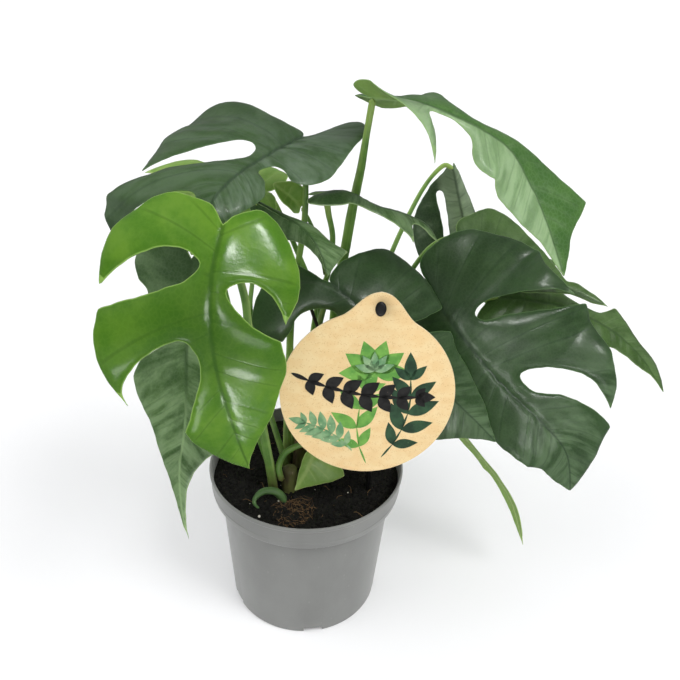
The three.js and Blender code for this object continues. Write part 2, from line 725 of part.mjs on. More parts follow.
// Blade with both faces triangulated alike, a wall round its edge and a keel under the rib
function bladeSolid(leaf, grow = 0) {
  const sheet = new LeafSheet(leaf);
  const rightEdge = smoothEdge(leaf.right.edge, sheet.length);
  const leftEdge = smoothEdge(leaf.left.edge, sheet.length).slice(1).reverse();
  const outline = [...rightEdge, new THREE.Vector2(0, sheet.length), ...leftEdge];
  const inner = innerPoints(outline, sheet.length);
  const points = [...outline, ...inner];
  const triangles = triangulate(outline, inner);

  const half = BLADE_THICKNESS / 2 + grow;
  const top = [];
  const bottom = [];
  points.forEach((point, index) => {
    const place = point.clone();
    if (index < outline.length) {
      const before = outline.at(index - 1);
      const after = outline[(index + 1) % outline.length];
      const run = after.clone().sub(before).normalize();
      place.add(new THREE.Vector2(run.y, -run.x).multiplyScalar(grow));
    }
    const keel = index >= outline.length && point.x === 0
      ? KEEL_DEPTH * (1 - 0.8 * point.y / sheet.length) : 0;
    const middle = sheet.point(place.x, place.y);
    const normal = sheet.normal(place.x, place.y);
    top.push(middle.clone().addScaledVector(normal, half));
    bottom.push(middle.addScaledVector(normal, -half - keel));
  });

  const count = points.length;
  const indices = [];
  for (const [a, b, c] of triangles) {
    indices.push(a, b, c, count + a, count + c, count + b);
  }
  outline.forEach((_, index) => {
    const next = (index + 1) % outline.length;
    indices.push(index, count + index, count + next, index, count + next, next);
  });
  const geometry = new THREE.BufferGeometry().setFromPoints([...top, ...bottom]);
  geometry.setIndex(indices);
  return toSolid(geometry);
}

// Body of revolution about Z from a profile of [radius, height] pairs
function turnedGeometry(profile, sides) {
  const points = profile.map(([radius, height]) => new THREE.Vector2(radius, height));
  return new THREE.LatheGeometry(points, sides).rotateX(Math.PI / 2);
}

// Inner radius of the pot's tapered body at a height
function bodyRadius(height) {
  const taper = (NECK_RADIUS - FOOT_RADIUS) / (POT_HEIGHT - LIP_HEIGHT);
  return FOOT_RADIUS + taper * height;
}

function potSolid() {
  const lipFoot = POT_HEIGHT - LIP_HEIGHT;
  const profile = [
    [0, 0], [FOOT_PAD_RADIUS, 0], [FOOT_PAD_RADIUS + 1, FLOOR_UNDERSIDE],
    [FOOT_RING_INNER_RADIUS, FLOOR_UNDERSIDE], [FOOT_RING_INNER_RADIUS + 1, 0],
    [FOOT_RADIUS - 1, 0], [FOOT_RADIUS, 1], [NECK_RADIUS, lipFoot - 1.5],
    [LIP_FOOT_RADIUS - 0.8, lipFoot], [LIP_FOOT_RADIUS, lipFoot + 1.2],
    [RIM_RADIUS - 0.1, POT_HEIGHT - 0.6], [RIM_RADIUS - 0.5, POT_HEIGHT],
    [RIM_RADIUS - POT_WALL + 0.3, POT_HEIGHT], [RIM_RADIUS - POT_WALL, POT_HEIGHT - 0.5],
    [LIP_FOOT_RADIUS - POT_WALL, lipFoot + 1.4], [NECK_RADIUS - POT_WALL, lipFoot - 0.8],
    [bodyRadius(FLOOR_TOP) - POT_WALL, FLOOR_TOP], [0, FLOOR_TOP],
  ];
  let pot = toSolid(turnedGeometry(profile, POT_SIDES));
  for (let index = 0; index < DRAIN_HOLES; index += 1) {
    const turn = 2 * Math.PI * index / DRAIN_HOLES;
    const hole = new THREE.CylinderGeometry(DRAIN_HOLE_RADIUS, DRAIN_HOLE_RADIUS, 12, 14)
      .rotateX(Math.PI / 2)
      .translate(DRAIN_CIRCLE_RADIUS * Math.sin(turn), DRAIN_CIRCLE_RADIUS * Math.cos(turn), 4);
    const notch = new THREE.BoxGeometry(DRAIN_NOTCH.width, 20, 2 * DRAIN_NOTCH.height)
      .translate(0, -FOOT_RADIUS, 0)
      .rotateZ(THREE.MathUtils.degToRad(DRAIN_NOTCH.turn) + turn);
    pot = pot.subtract(toSolid(hole)).subtract(toSolid(notch));
  }
  return pot;
}

function soilHeight(x, y) {
  const mound = SOIL_MOUND * Math.exp(-(x * x + y * y) / (2 * SOIL_MOUND_SPREAD ** 2));
  const lumps = 0.9 * Math.sin(x / 7 + 1) * Math.cos(y / 9) + 0.6 * Math.sin(x / 3.7 + y / 5.1);
  return SOIL_EDGE_HEIGHT + mound + lumps;
}

function soilSolid() {
  const lipFoot = POT_HEIGHT - LIP_HEIGHT;
  const wall = POT_WALL + GAP;
  const profile = [
    [0, FLOOR_TOP + GAP], [bodyRadius(FLOOR_TOP) - wall, FLOOR_TOP + GAP],
    [NECK_RADIUS - wall, lipFoot - 0.8], [LIP_FOOT_RADIUS - wall - 0.2, lipFoot + 2],
    [LIP_FOOT_RADIUS - wall, SOIL_EDGE_HEIGHT],
    ...SOIL_RINGS.map((radius) => [radius, SOIL_EDGE_HEIGHT + 0.01]), [0, SOIL_EDGE_HEIGHT + 0.01],
  ];
  const geometry = turnedGeometry(profile, 28);
  const position = geometry.attributes.position;
  for (let i = 0; i < position.count; i += 1) {
    if (position.getZ(i) > SOIL_EDGE_HEIGHT) {
      position.setZ(i, soilHeight(position.getX(i), position.getY(i)));
    }
  }
  return toSolid(geometry);
}

// Turns a shape drawn on the tag's face, thickness along +Z, to the tag's place
function placeOnTag(geometry) {
  return geometry.rotateX(Math.PI / 2 - TAG_LEAN).translate(...TAG_CENTRE);
}

function tagShape() {
  const [rightTurn, leftTurn] = TAG_SHOULDERS.map(THREE.MathUtils.degToRad);
  const [earX] = TAG_EAR_CENTRE;
  const left = [TAG_RADIUS * Math.cos(leftTurn), TAG_RADIUS * Math.sin(leftTurn)];
  const right = [TAG_RADIUS * Math.cos(rightTurn), TAG_RADIUS * Math.sin(rightTurn)];
  const shape = new THREE.Shape();
  shape.absarc(0, 0, TAG_RADIUS, leftTurn, rightTurn + 2 * Math.PI, false);
  shape.bezierCurveTo(right[0] - 7, right[1] + 4.4, earX + TAG_EAR_HALF_WIDTH + 1,
    TAG_EAR_TOP - 1, earX, TAG_EAR_TOP);
  shape.bezierCurveTo(earX - TAG_EAR_HALF_WIDTH - 1, TAG_EAR_TOP - 1, left[0] + 8,
    left[1] + 2.6, ...left);
  const hole = new THREE.Path();
  hole.absellipse(...TAG_EAR_CENTRE, ...TAG_HOLE, 0, 2 * Math.PI, true);
  shape.holes.push(hole);
  return shape;
}

function tagSolid() {
  const geometry = new THREE.ExtrudeGeometry(tagShape(), {
    depth: TAG_THICKNESS, bevelEnabled: false, curveSegments: 22,
  });
  return toSolid(placeOnTag(geometry));
}

// Peg head through the ear's hole, on top of a straight stake behind the tag
function stakeSolid(grow = 0) {
  const [width, height] = TAG_HOLE;
  const head = new THREE.CylinderGeometry(1, 1, TAG_THICKNESS + 4.5 + grow, 16)
    .rotateX(Math.PI / 2)
    .scale(width - GAP + grow, height - GAP + grow, 1)
    .translate(...TAG_EAR_CENTRE, TAG_THICKNESS / 2 - 1.6);
  const top = placeOnTag(new THREE.BufferGeometry().setFromPoints(
    [new THREE.Vector3(...TAG_EAR_CENTRE, -3)]));
  const anchor = top.attributes.position.array;
  const shaft = stalkSolid({ route: [STAKE_FOOT, [...anchor]], radius: [STAKE_RADIUS] }, grow);
  return toSolid(placeOnTag(head)).add(shaft);
}

function supportStickSolid(grow = 0) {
  const { top, foot, radius } = SUPPORT_STICK;
  return stalkSolid({ route: [foot, top], radius: [radius] }, grow);
}

function petioleSolid(stalk, grow = 0) {
  const main = stalkSolid(stalk, grow);
  return stalk.branch ? main.add(stalkSolid(stalk.branch, grow)) : main;
}

// Pieces in the order in which they claim their space: each is cut clear of those before it
function listPieces() {
  const pieces = [
    { name: 'pot', finish: 'potGrey', make: potSolid },
    { name: 'tag', finish: 'kraftCard', make: tagSolid },
    { name: 'tag_stake', finish: 'blackPlastic', make: stakeSolid },
    { name: 'support_stick', finish: 'blackPlastic', make: supportStickSolid },
  ];
  for (const [name, stem] of Object.entries(STEMS)) {
    pieces.push({ name, finish: 'stemBrown', make: (grow) => stalkSolid(stem, grow) });
  }
  pieces.push({
    name: 'curled_sheath', finish: 'sheathPale', make: (grow) => stalkSolid(CURLED_SHEATH, grow),
  });
  for (const [name, leaf] of Object.entries(LEAVES)) {
    pieces.push({
      name: `leaf_${name}`, finish: leaf.finish, make: (grow) => bladeSolid(leaf, grow),
    });
  }
  for (const [name, stalk] of Object.entries(STALKS)) {
    pieces.push({
      name: `petiole_${name}`, finish: 'stalkGreen', make: (grow) => petioleSolid(stalk, grow),
    });
  }
  pieces.push({ name: 'soil', finish: 'soilBrown', make: soilSolid });
  return pieces;
}

function carve(pieces) {
  const placed = [];
  for (const piece of pieces) {
    let solid = piece.make(0);
    for (const other of placed) {
      if (other.name !== 'pot' && boxesMeet(solid, other.clear)) {
        solid = solid.subtract(other.clear);
      }
    }
    placed.push({ ...piece, solid: largestBody(solid), clear: piece.make(GAP) });
  }
  return placed;
}

const plant = new THREE.Group();
for (const { name, finish, solid } of carve(listPieces())) {
  const material = new THREE.MeshStandardMaterial({ ...FINISHES[finish], metalness: 0 });
  const mesh = new THREE.Mesh(toGeometry(solid), material);
  mesh.name = name;
  plant.add(mesh);
}

export default plant;
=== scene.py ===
"""Young split-leaf climbing plant in a nursery pot, with a round card tag on a stake.

The tables are in millimetres, in the frame of the CAD model: Z up, the origin in the
middle of the pot's underside and -Y towards the viewer. MM turns them into metres.
"""

import logging
import math
from collections.abc import Callable, Sequence
from dataclasses import dataclass, field
from enum import Enum

import bmesh
import bpy
import numpy as np
from mathutils import Matrix, Vector
from mathutils.geometry import delaunay_2d_cdt


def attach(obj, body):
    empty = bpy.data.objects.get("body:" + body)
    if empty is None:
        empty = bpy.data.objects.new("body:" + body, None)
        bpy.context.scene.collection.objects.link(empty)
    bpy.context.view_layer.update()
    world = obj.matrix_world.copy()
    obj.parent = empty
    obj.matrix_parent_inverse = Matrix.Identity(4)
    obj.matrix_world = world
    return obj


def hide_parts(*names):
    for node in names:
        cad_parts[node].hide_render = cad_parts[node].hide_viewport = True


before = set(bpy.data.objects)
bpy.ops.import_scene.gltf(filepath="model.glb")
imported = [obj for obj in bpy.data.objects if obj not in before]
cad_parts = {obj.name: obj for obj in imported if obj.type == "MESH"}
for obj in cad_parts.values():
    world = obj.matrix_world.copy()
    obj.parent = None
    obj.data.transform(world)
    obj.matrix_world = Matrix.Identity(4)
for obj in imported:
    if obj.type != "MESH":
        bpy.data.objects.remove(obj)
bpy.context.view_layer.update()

log = logging.getLogger("plant")

MM = 0.001
BODY = "root"
# The leaf's flat drawing fills a chart this wide, its stalk's end at CHART_FOOT
CHART_WIDTH = 200.0
CHART_FOOT = (0.5, 0.2)
NOISE_LEVEL = 3.7

Shade = tuple[int, int, int]
Colour = tuple[float, float, float, float]
Flat = tuple[float, float]
Spot = tuple[float, float, float]
Rows = tuple[tuple[float, ...], ...]
Faces = list[tuple[int, ...]]
Inputs = dict[str | int, object]
Array = np.ndarray
Socket = bpy.types.NodeSocket
Tree = bpy.types.NodeTree
Stuff = bpy.types.Material
Piece = bpy.types.Object


def paint(shade: Shade) -> Colour:
    """Turns a screen colour into the linear one that Blender's sockets take.

    Args:
        shade: Red, green and blue from 0 to 255.

    Returns:
        The linear colour with full alpha.
    """
    shares = [value / 255 for value in shade]
    red, green, blue = (s / 12.92 if s <= 0.04045 else ((s + 0.055) / 1.055) ** 2.4 for s in shares)
    return red, green, blue, 1.0


class Slot(Enum):
    """Finish slots of the CAD model."""

    POT = "pot_plastic"
    SOIL = "soil"
    CARD = "kraft_card"
    BLACK = "black_plastic"
    SHEATH = "pale_sheath"
    STEM = "stem"
    STALK = "stalk"
    LEAF_BRIGHT = "leaf_bright"
    LEAF_DARK = "leaf_dark"
    LEAF_MID = "leaf_mid"
    LEAF_YOUNG = "leaf_young"


# Node trees


class NodeBoard:
    """Lays nodes in one tree and joins their sockets."""

    def __init__(self, tree: Tree) -> None:
        """Takes the tree that the nodes go into."""
        self.tree = tree

    def feed(self, socket: Socket, value: object) -> None:
        """Links a socket into another one, or sets its value.

        Args:
            socket: The input socket.
            value: An output socket, or the value itself.
        """
        if isinstance(value, Socket):
            self.tree.links.new(value, socket)
        else:
            socket.default_value = value

    def add(self, kind: str, inputs: Inputs | None = None, **settings: object) -> bpy.types.Node:
        """Adds a node.

        Args:
            kind: Blender's name of the node type.
            inputs: Values or sockets by input name or number.
            **settings: The node's own settings.

        Returns:
            The new node.
        """
        node = self.tree.nodes.new(kind)
        for name, value in settings.items():
            setattr(node, name, value)
        for key, value in (inputs or {}).items():
            self.feed(node.inputs[key], value)
        return node

    def first(self, kind: str, inputs: Inputs | None = None, **settings: object) -> Socket:
        """Adds a node as add does and gives its first output."""
        return self.add(kind, inputs, **settings).outputs[0]

    def math(self, operation: str, *values: object, clamp: bool = False) -> Socket:
        """Adds a Math node, whose result clamp keeps between 0 and 1."""
        inputs = dict(enumerate(values))
        return self.first("ShaderNodeMath", inputs, operation=operation, use_clamp=clamp)

    def times(self, *values: object) -> Socket:
        """Multiplies values, one after the other.

        Args:
            *values: Numbers or sockets.

        Returns:
            The product.
        """
        product = values[0]
        for value in values[1:]:
            product = self.math("MULTIPLY", product, value)
        return product

    def vector(self, operation: str, first: object, second: object) -> Socket:
        """Adds a Vector Math node for two vectors."""
        return self.first("ShaderNodeVectorMath", {0: first, 1: second}, operation=operation)

    def scaled(self, vector: object, factor: object) -> Socket:
        """Multiplies a vector by a number."""
        return self.first("ShaderNodeVectorMath", {0: vector, "Scale": factor}, operation="SCALE")

    def combined(self, x: object, y: object, z: object) -> Socket:
        """Makes a vector of three numbers."""
        return self.first("ShaderNodeCombineXYZ", {0: x, 1: y, 2: z})

    def span(
        self, value: object, low: float, high: float, start: float = 0.0, end: float = 1.0
    ) -> Socket:
        """Maps a value smoothly from low..high to start..end.

        Args:
            value: The value to map.
            low: Where the change begins.
            high: Where it ends.
            start: Result at low.
            end: Result at high.

        Returns:
            The mapped value.
        """
        inputs = {0: value, 1: low, 2: high, 3: start, 4: end}
        return self.first("ShaderNodeMapRange", inputs, interpolation_type="SMOOTHSTEP")

    def fade(self, value: object, low: float, high: float) -> Socket:
        """Falls smoothly from 1 at low to 0 at high."""
        return self.span(value, low, high, 1.0, 0.0)

    def mix(self, factor: object, first: object, second: object) -> Socket:
        """Mixes two colours; factor is the share of the second."""
        inputs = {0: factor, 6: first, 7: second}
        return self.add("ShaderNodeMix", inputs, data_type="RGBA").outputs[2]

    def noise(
        self, place: object, scale: object, detail: float = 3.0, rough: float = 0.55
    ) -> Socket:
        """Adds a noise texture.

        Args:
            place: The coordinates.
            scale: Its scale.
            detail: Its octaves.
            rough: How strong the finer octaves are.

        Returns:
            The noise, about 0.5 on average.
        """
        inputs = {"Vector": place, "Scale": scale, "Detail": detail, "Roughness": rough}
        return self.first("ShaderNodeTexNoise", inputs)


class GroupBoard(NodeBoard):
    """A node group with named sockets."""

    def __init__(
        self, kind: str, name: str, takes: dict[str, object], gives: dict[str, str]
    ) -> None:
        """Makes the group.

        Args:
            kind: Blender's type of tree.
            name: The group's name.
            takes: Standard value of each input, or the type of its socket.
            gives: Type of each output's socket.
        """
        super().__init__(bpy.data.node_groups.new(name, kind))
        for way, sockets in (("INPUT", takes), ("OUTPUT", gives)):
            for label, value in sockets.items():
                known = {float: "Float", int: "Int"}.get(type(value), value)
                socket = self.tree.interface.new_socket(
                    name=label, in_out=way, socket_type=f"NodeSocket{known}"
                )
                if known is not value:
                    socket.default_value = value
        self.given = self.add("NodeGroupInput").outputs
        self.put = self.add("NodeGroupOutput").inputs

    def give(self, results: dict[str, Socket]) -> Tree:
        """Feeds the group's outputs.

        Args:
            results: The value of each output.

        Returns:
            The group.
        """
        for label, value in results.items():
            self.feed(self.put[label], value)
        return self.tree


class ShapeBoard(GroupBoard):
    """A group of Geometry Nodes with an input called Finish."""

    def __init__(self, name: str, result: str, takes: dict[str, object]) -> None:
        """Makes the group with one output, the shape."""
        super().__init__("GeometryNodeTree", name, takes, {result: "Geometry"})

    def keep(self, shape: Socket, name: str, value: Socket) -> Socket:
        """Stores a number on a shape's points."""
        inputs = {"Geometry": shape, "Name": name, "Value": value}
        return self.first("GeometryNodeStoreNamedAttribute", inputs, data_type="FLOAT")

    def kept(self, name: str) -> Socket:
        """Reads a number that is stored on the points."""
        return self.first("GeometryNodeInputNamedAttribute", {"Name": name}, data_type="FLOAT")

    def draw(self, seed: object, low: float = 0.0, high: float = 1.0) -> Socket:
        """Draws a number for each point."""
        inputs = {2: low, 3: high, "Seed": seed}
        return self.add("FunctionNodeRandomValue", inputs, data_type="FLOAT").outputs[1]

    def draw_vector(self, seed: object, low: object, high: object) -> Socket:
        """Draws a vector for each point."""
        inputs = {0: low, 1: high, "Seed": seed}
        return self.first("FunctionNodeRandomValue", inputs, data_type="FLOAT_VECTOR")

    def moved(self, shape: Socket, push: Socket) -> Socket:
        """Moves a shape's points."""
        return self.first("GeometryNodeSetPosition", {"Geometry": shape, "Offset": push})

    def raised(self, shape: Socket, height: Socket) -> Socket:
        """Moves a shape's points along their normals."""
        return self.moved(shape, self.scaled(self.first("GeometryNodeInputNormal"), height))

    def strewn_spots(self) -> Socket:
        """Strews points over the input Ground and stores a random tone on each.

        Returns:
            The points.
        """
        given = self.given
        inputs = {
            "Mesh": given["Ground"],
            "Distance Min": given["Spacing"],
            "Density Max": given["Density"],
            "Seed": given["Seed"],
        }
        spots = self.first(
            "GeometryNodeDistributePointsOnFaces", inputs, distribute_method="POISSON"
        )
        return self.keep(spots, "tone", self.draw(given["Seed"]))

    def set_on(self, spots: Socket, shape: Socket, turn: Socket, scale: Socket) -> Socket:
        """Sets a turned and scaled copy of a shape on every point and makes them real.

        Args:
            spots: The points.
            shape: The shape.
            turn: Its turn on each point.
            scale: Its scale on each point.

        Returns:
            The copies.
        """
        inputs = {"Points": spots, "Instance": shape, "Rotation": turn, "Scale": scale}
        copies = self.first("GeometryNodeInstanceOnPoints", inputs)
        return self.first("GeometryNodeRealizeInstances", {"Geometry": copies})

    def finished(self, shape: Socket) -> Tree:
        """Makes the shape real, gives it the material Finish and puts it out.

        Args:
            shape: The shape.

        Returns:
            The group.
        """
        whole = self.first("GeometryNodeRealizeInstances", {"Geometry": shape})
        inputs = {"Geometry": whole, "Material": self.given["Finish"]}
        self.feed(self.put[0], self.first("GeometryNodeSetMaterial", inputs))
        return self.tree


class MaterialBoard(NodeBoard):
    """A new material's nodes around its main shader."""

    def __init__(self, name: str) -> None:
        """Starts the material.

        Args:
            name: Its name.
        """
        self.material = bpy.data.materials.new(name)
        self.material.use_nodes = True
        super().__init__(self.material.node_tree)
        self.shader = self.tree.nodes["Principled BSDF"]

    def object_place(self) -> Socket:
        """Gives the object coordinates, in metres."""
        return self.add("ShaderNodeTexCoord").outputs["Object"]

    def kept(self, name: str) -> Socket:
        """Reads a number that is stored on the mesh."""
        return self.add("ShaderNodeAttribute", attribute_name=name).outputs["Fac"]

    def group(self, tree: Tree, inputs: Inputs) -> bpy.types.NodeOutputs:
        """Adds a shader group and gives its outputs."""
        return self.add("ShaderNodeGroup", inputs, node_tree=tree).outputs

    def shade(self, inputs: Inputs) -> Stuff:
        """Feeds the main shader's inputs.

        Args:
            inputs: Values or sockets by input name.

        Returns:
            The material.
        """
        for name, value in inputs.items():
            self.feed(self.shader.inputs[name], value)
        return self.material

    def finish(self, height: Socket, strength: float, depth: float, inputs: Inputs) -> Stuff:
        """Feeds the shader and gives it a bump.

        Args:
            height: Height of the bump, 0 to 1.
            strength: How much of it shows.
            depth: What a height of 1 stands for, in metres.
            inputs: The shader's other inputs.

        Returns:
            The material.
        """
        bump = {"Strength": strength, "Distance": depth, "Height": height}
        return self.shade({"Normal": self.first("ShaderNodeBump", bump), **inputs})


def speckle_group() -> Tree:
    """Shared effect: fine flecks, and a soft cloud under them.

    Returns:
        The shader group.
    """
    takes = {"Place": "Vector", "Fleck scale": 900.0, "Fleck share": 0.2, "Cloud scale": 40.0}
    gives = {"Fleck": "Float", "Cloud": "Float", "Grain": "Float"}
    board = GroupBoard("ShaderNodeTree", "fine_speckle", takes, gives)
    place, scale = board.given["Place"], board.given["Fleck scale"]
    cells = board.add("ShaderNodeTexVoronoi", {"Vector": place, "Scale": scale}).outputs
    chosen = board.math("LESS_THAN", cells["Color"], board.given["Fleck share"])
    return board.give({
        "Fleck": board.times(chosen, board.fade(cells["Distance"], 0.18, 0.42)),
        "Cloud": board.noise(place, board.given["Cloud scale"], 4.0, 0.5),
        "Grain": board.noise(place, board.times(scale, 1.7), 2.0, 0.5),
    })


def blade_figure_group() -> Tree:
    """Shared effect: the veins, the net between them and the edge of a leaf.

    Returns:
        The shader group. Its flat coordinates, rim and widths are in millimetres.
    """
    takes = {"Flat": "Vector", "Station": 0.0, "Rim": 5.0, "Vein width": 0.5, "Vein spacing": 9.0}
    gives = dict.fromkeys(("Vein", "Streak", "Rib", "Net", "Edge", "Mottle"), "Float")
    board = GroupBoard("ShaderNodeTree", "blade_figure", takes, gives)
    flat, rim = board.given["Flat"], board.given["Rim"]
    away = board.times(
        board.math("PINGPONG", board.given["Station"], 0.5), board.given["Vein spacing"]
    )
    relative = board.math("DIVIDE", away, board.given["Vein width"])
    inland = board.span(rim, 0.6, 5.0)
    parts = board.add("ShaderNodeSeparateXYZ", {0: flat}).outputs
    taper = board.span(parts[1], 0.0, 130.0, 1.0, 0.45)
    thin = board.math("DIVIDE", board.math("ABSOLUTE", parts[0]), taper)
    cells = {"Vector": flat, "Scale": 0.42}
    return board.give({
        "Vein": board.times(board.fade(relative, 0.3, 1.2), inland),
        "Streak": board.times(board.fade(relative, 0.6, 5.5), inland),
        "Rib": board.fade(thin, 0.3, 1.9),
        "Net": board.fade(
            board.first("ShaderNodeTexVoronoi", cells, feature="DISTANCE_TO_EDGE"), 0.0, 0.2
        ),
        "Edge": board.fade(rim, 0.15, 0.75),
        "Mottle": board.noise(flat, 0.06, 5.0, 0.6),
    })


# Finishes


@dataclass(frozen=True)
class Shared:
    """The shader groups that several finishes use."""

    speckle: Tree
    figure: Tree


@dataclass(frozen=True)
class LeafFinish:
    """Waxy blade: two tones above, veins, painted sheen and shade, a pale underside and a rim painted as
    a highlight.
    """

    name: str
    tone: Shade
    deep: Shade
    # Colour of the lighter streaks along the veins and of the net, also used for the painted sheen
    streak_and_sheen: Shade
    vein: Shade
    under: Shade
    # Colour of the pale rim, a painted highlight along the edge; it also draws the veins below
    rim: Shade
    midrib: Shade | None = None
    streak_share: float = 0.3
    # Painted sheen: its share on each half and towards the tip, where the tip part starts, its weakest
    # value in its streaky cloud and its reach from the midrib
    left_sheen_share: float = 0.0
    right_sheen_share: float = 0.0
    tip_sheen_share: float = 0.0
    tip_sheen_from: float = 90.0
    painted_sheen_floor: float = 0.12
    painted_sheen_reach: float = 200.0
    # Painted shade towards the vein colour: its strength, and where along the midrib it is darkest
    painted_shade: float = 0.25
    painted_shade_at: float = 0.0
    pale_from: float = 0.0
    vein_share: float = 0.3
    rib_share: float = 0.6
    gloss: float = 0.3
    wax: float = 0.1
    bleed: float = 0.06
    grain: float = 0.4

    def painted_sheen(self, board: NodeBoard, flat: Socket, station: Socket) -> Socket:
        """Draws the painted sheen: a pale colour that stands in for light reflected off parts of a blade.

        Args:
            board: The material's board.
            flat: The flat coordinates, in millimetres.
            station: The number of the nearest side vein.

        Returns:
            How much of the painted sheen shows.
        """
        parts = board.add("ShaderNodeSeparateXYZ", {0: flat}).outputs
        # Painted sheen: a share on each half and towards the tip, broken into streaks along the side
        # veins and kept near the midrib
        half = board.span(parts[0], -1.2, 1.2, self.left_sheen_share, self.right_sheen_share)
        tip = board.span(parts[1], self.tip_sheen_from, self.tip_sheen_from + 40.0, 0.0, self.tip_sheen_share)
        drawn = board.combined(
            board.times(parts[0], 0.045), board.times(station, 1.3), NOISE_LEVEL
        )
        cloud = board.span(board.noise(drawn, 1.0, 5.0, 0.6), 0.38, 0.62, self.painted_sheen_floor, 1.0)
        beside = board.math("ABSOLUTE", parts[0])
        near = board.fade(beside, self.painted_sheen_reach, self.painted_sheen_reach + 7.0)
        return board.times(board.math("ADD", half, tip, clamp=True), board.times(cloud, near))

    def upper_side(
        self, board: NodeBoard, flat: Socket, station: Socket, figure: bpy.types.NodeOutputs
    ) -> Socket:
        """Colours the upper side, with painted sheen and painted shade.

        Args:
            board: The material's board.
            flat: The flat coordinates, in millimetres.
            station: The number of the nearest side vein.
            figure: The outputs of the figure group.

        Returns:
            The colour.
        """
        streak_and_sheen, vein = paint(self.streak_and_sheen), paint(self.vein)
        mottle = board.span(figure["Mottle"], 0.35, 0.65)
        colour = board.mix(mottle, paint(self.tone), paint(self.deep))
        patches = board.span(board.noise(flat, 0.11), 0.35, 0.65)
        patchy = board.times(figure["Streak"], self.streak_share, patches)
        colour = board.mix(patchy, colour, streak_and_sheen)
        # Painted sheen in the pale colour
        colour = board.mix(self.painted_sheen(board, flat, station), colour, streak_and_sheen)
        parts = board.add("ShaderNodeSeparateXYZ", {0: flat}).outputs
        # Painted shade: darkens towards the vein colour near one place on the midrib, fading along the
        # blade and less towards the sides
        ahead = board.math("ABSOLUTE", board.math("SUBTRACT", parts[1], self.painted_shade_at))
        beside = board.span(board.math("ABSOLUTE", parts[0]), 0.0, 50.0, 1.0, 0.45)
        shade = board.times(board.span(ahead, 0.0, 50.0, self.painted_shade, 0.0), beside)
        colour = board.mix(shade, colour, vein)
        colour = board.mix(board.times(figure["Net"], 0.07), colour, streak_and_sheen)
        colour = board.mix(board.times(figure["Vein"], self.vein_share), colour, vein)
        far = board.span(parts[1], self.pale_from, self.pale_from + 30.0)
        line = board.mix(far, vein, paint(self.midrib or self.vein))
        return board.mix(board.times(figure["Rib"], self.rib_share), colour, line)

    def material(self, shared: Shared) -> Stuff:
        """Builds the material.

        Args:
            shared: The shader groups.

        Returns:
            The material.
        """
        board = MaterialBoard(self.name)
        plan = board.first("ShaderNodeUVMap", uv_map="flat")
        foot = [-CHART_WIDTH * share for share in CHART_FOOT]
        flat = board.vector("MULTIPLY", plan, (CHART_WIDTH, CHART_WIDTH, 1.0))
        flat = board.vector("ADD", flat, (*foot, NOISE_LEVEL))
        station, upper = board.kept("station"), board.kept("upper")
        inputs = {"Flat": flat, "Station": station, "Rim": board.kept("rim")}
        figure = board.group(shared.figure, inputs)
        vein, tone, rim = figure["Vein"], paint(self.tone), paint(self.rim)
        colour = self.upper_side(board, flat, station, figure)
        mottle = board.times(board.span(figure["Mottle"], 0.35, 0.65), 0.3)
        below = board.mix(mottle, paint(self.under), tone)
        below = board.mix(board.times(figure["Net"], 0.07), below, tone)
        lines = board.math("MAXIMUM", figure["Rib"], board.times(vein, 0.6))
        colour = board.mix(upper, board.mix(lines, below, rim), colour)
        haze = board.span(board.noise(flat, 0.2, 4.0), 0.3, 0.75, 0.0, 0.06)
        rough = {0: upper, 2: 0.52, 3: board.math("ADD", haze, self.gloss)}
        height = board.math("MULTIPLY_ADD", vein, -0.5, 1.0)
        height = board.math("MULTIPLY_ADD", board.noise(flat, 0.5, 1.0), 0.9, height)
        return board.finish(height, self.grain, 0.0002, {
            # Pale rim along the edge, painted as a highlight
            "Base Color": board.mix(board.times(figure["Edge"], 0.75), colour, rim),
            "Roughness": board.first("ShaderNodeMix", rough, data_type="FLOAT"),
            "Coat Weight": self.wax,
            "Coat Roughness": 0.12,
            "Specular IOR Level": 0.4,
            "Subsurface Weight": self.bleed,
            "Subsurface Radius": (0.4, 1.0, 0.15),
            "Subsurface Scale": 0.0015,
        })


@dataclass(frozen=True)
class PlainFinish:
    """Solid stuff with a cloudy tone, fine flecks and a grainy surface."""

    name: str
    tone: Shade
    deep: Shade
    fleck: Shade
    fleck_share: float = 0.15
    fleck_size: float = 0.001
    fleck_strength: float = 0.5
    cloud_size: float = 0.02
    stretch: Spot = (1.0, 1.0, 1.0)
    gloss: float = 0.5
    grain: float = 0.00008
    bleed: float = 0.0
    sheen: float = 0.0
    own_tone: bool = False

    def material(self, shared: Shared) -> Stuff:
        """Builds the material.

        Args:
            shared: The shader groups.

        Returns:
            The material.
        """
        board = MaterialBoard(self.name)
        marks = board.group(shared.speckle, {
            "Place": board.vector("MULTIPLY", board.object_place(), self.stretch),
            "Fleck scale": 1.0 / self.fleck_size,
            "Fleck share": self.fleck_share,
            "Cloud scale": 1.0 / self.cloud_size,
        })
        cloud = board.span(marks["Cloud"], 0.32, 0.68)
        if self.own_tone:
            piece_tone = board.times(board.kept("tone"), 0.6)
            cloud = board.math("ADD", board.times(cloud, 0.4), piece_tone)
        colour = board.mix(cloud, paint(self.tone), paint(self.deep))
        flecks = board.times(marks["Fleck"], self.fleck_strength)
        rough = board.span(marks["Cloud"], 0.3, 0.7, self.gloss - 0.07, self.gloss + 0.07)
        height = board.math("MULTIPLY_ADD", marks["Fleck"], -0.3, marks["Grain"])
        return board.finish(height, 0.6, self.grain, {
            "Base Color": board.mix(flecks, colour, paint(self.fleck)),
            "Roughness": rough,
            "Sheen Weight": self.sheen,
            "Sheen Roughness": 0.4,
            "Subsurface Weight": self.bleed,
            "Subsurface Radius": (0.6, 1.0, 0.25),
            "Subsurface Scale": 0.002,
        })


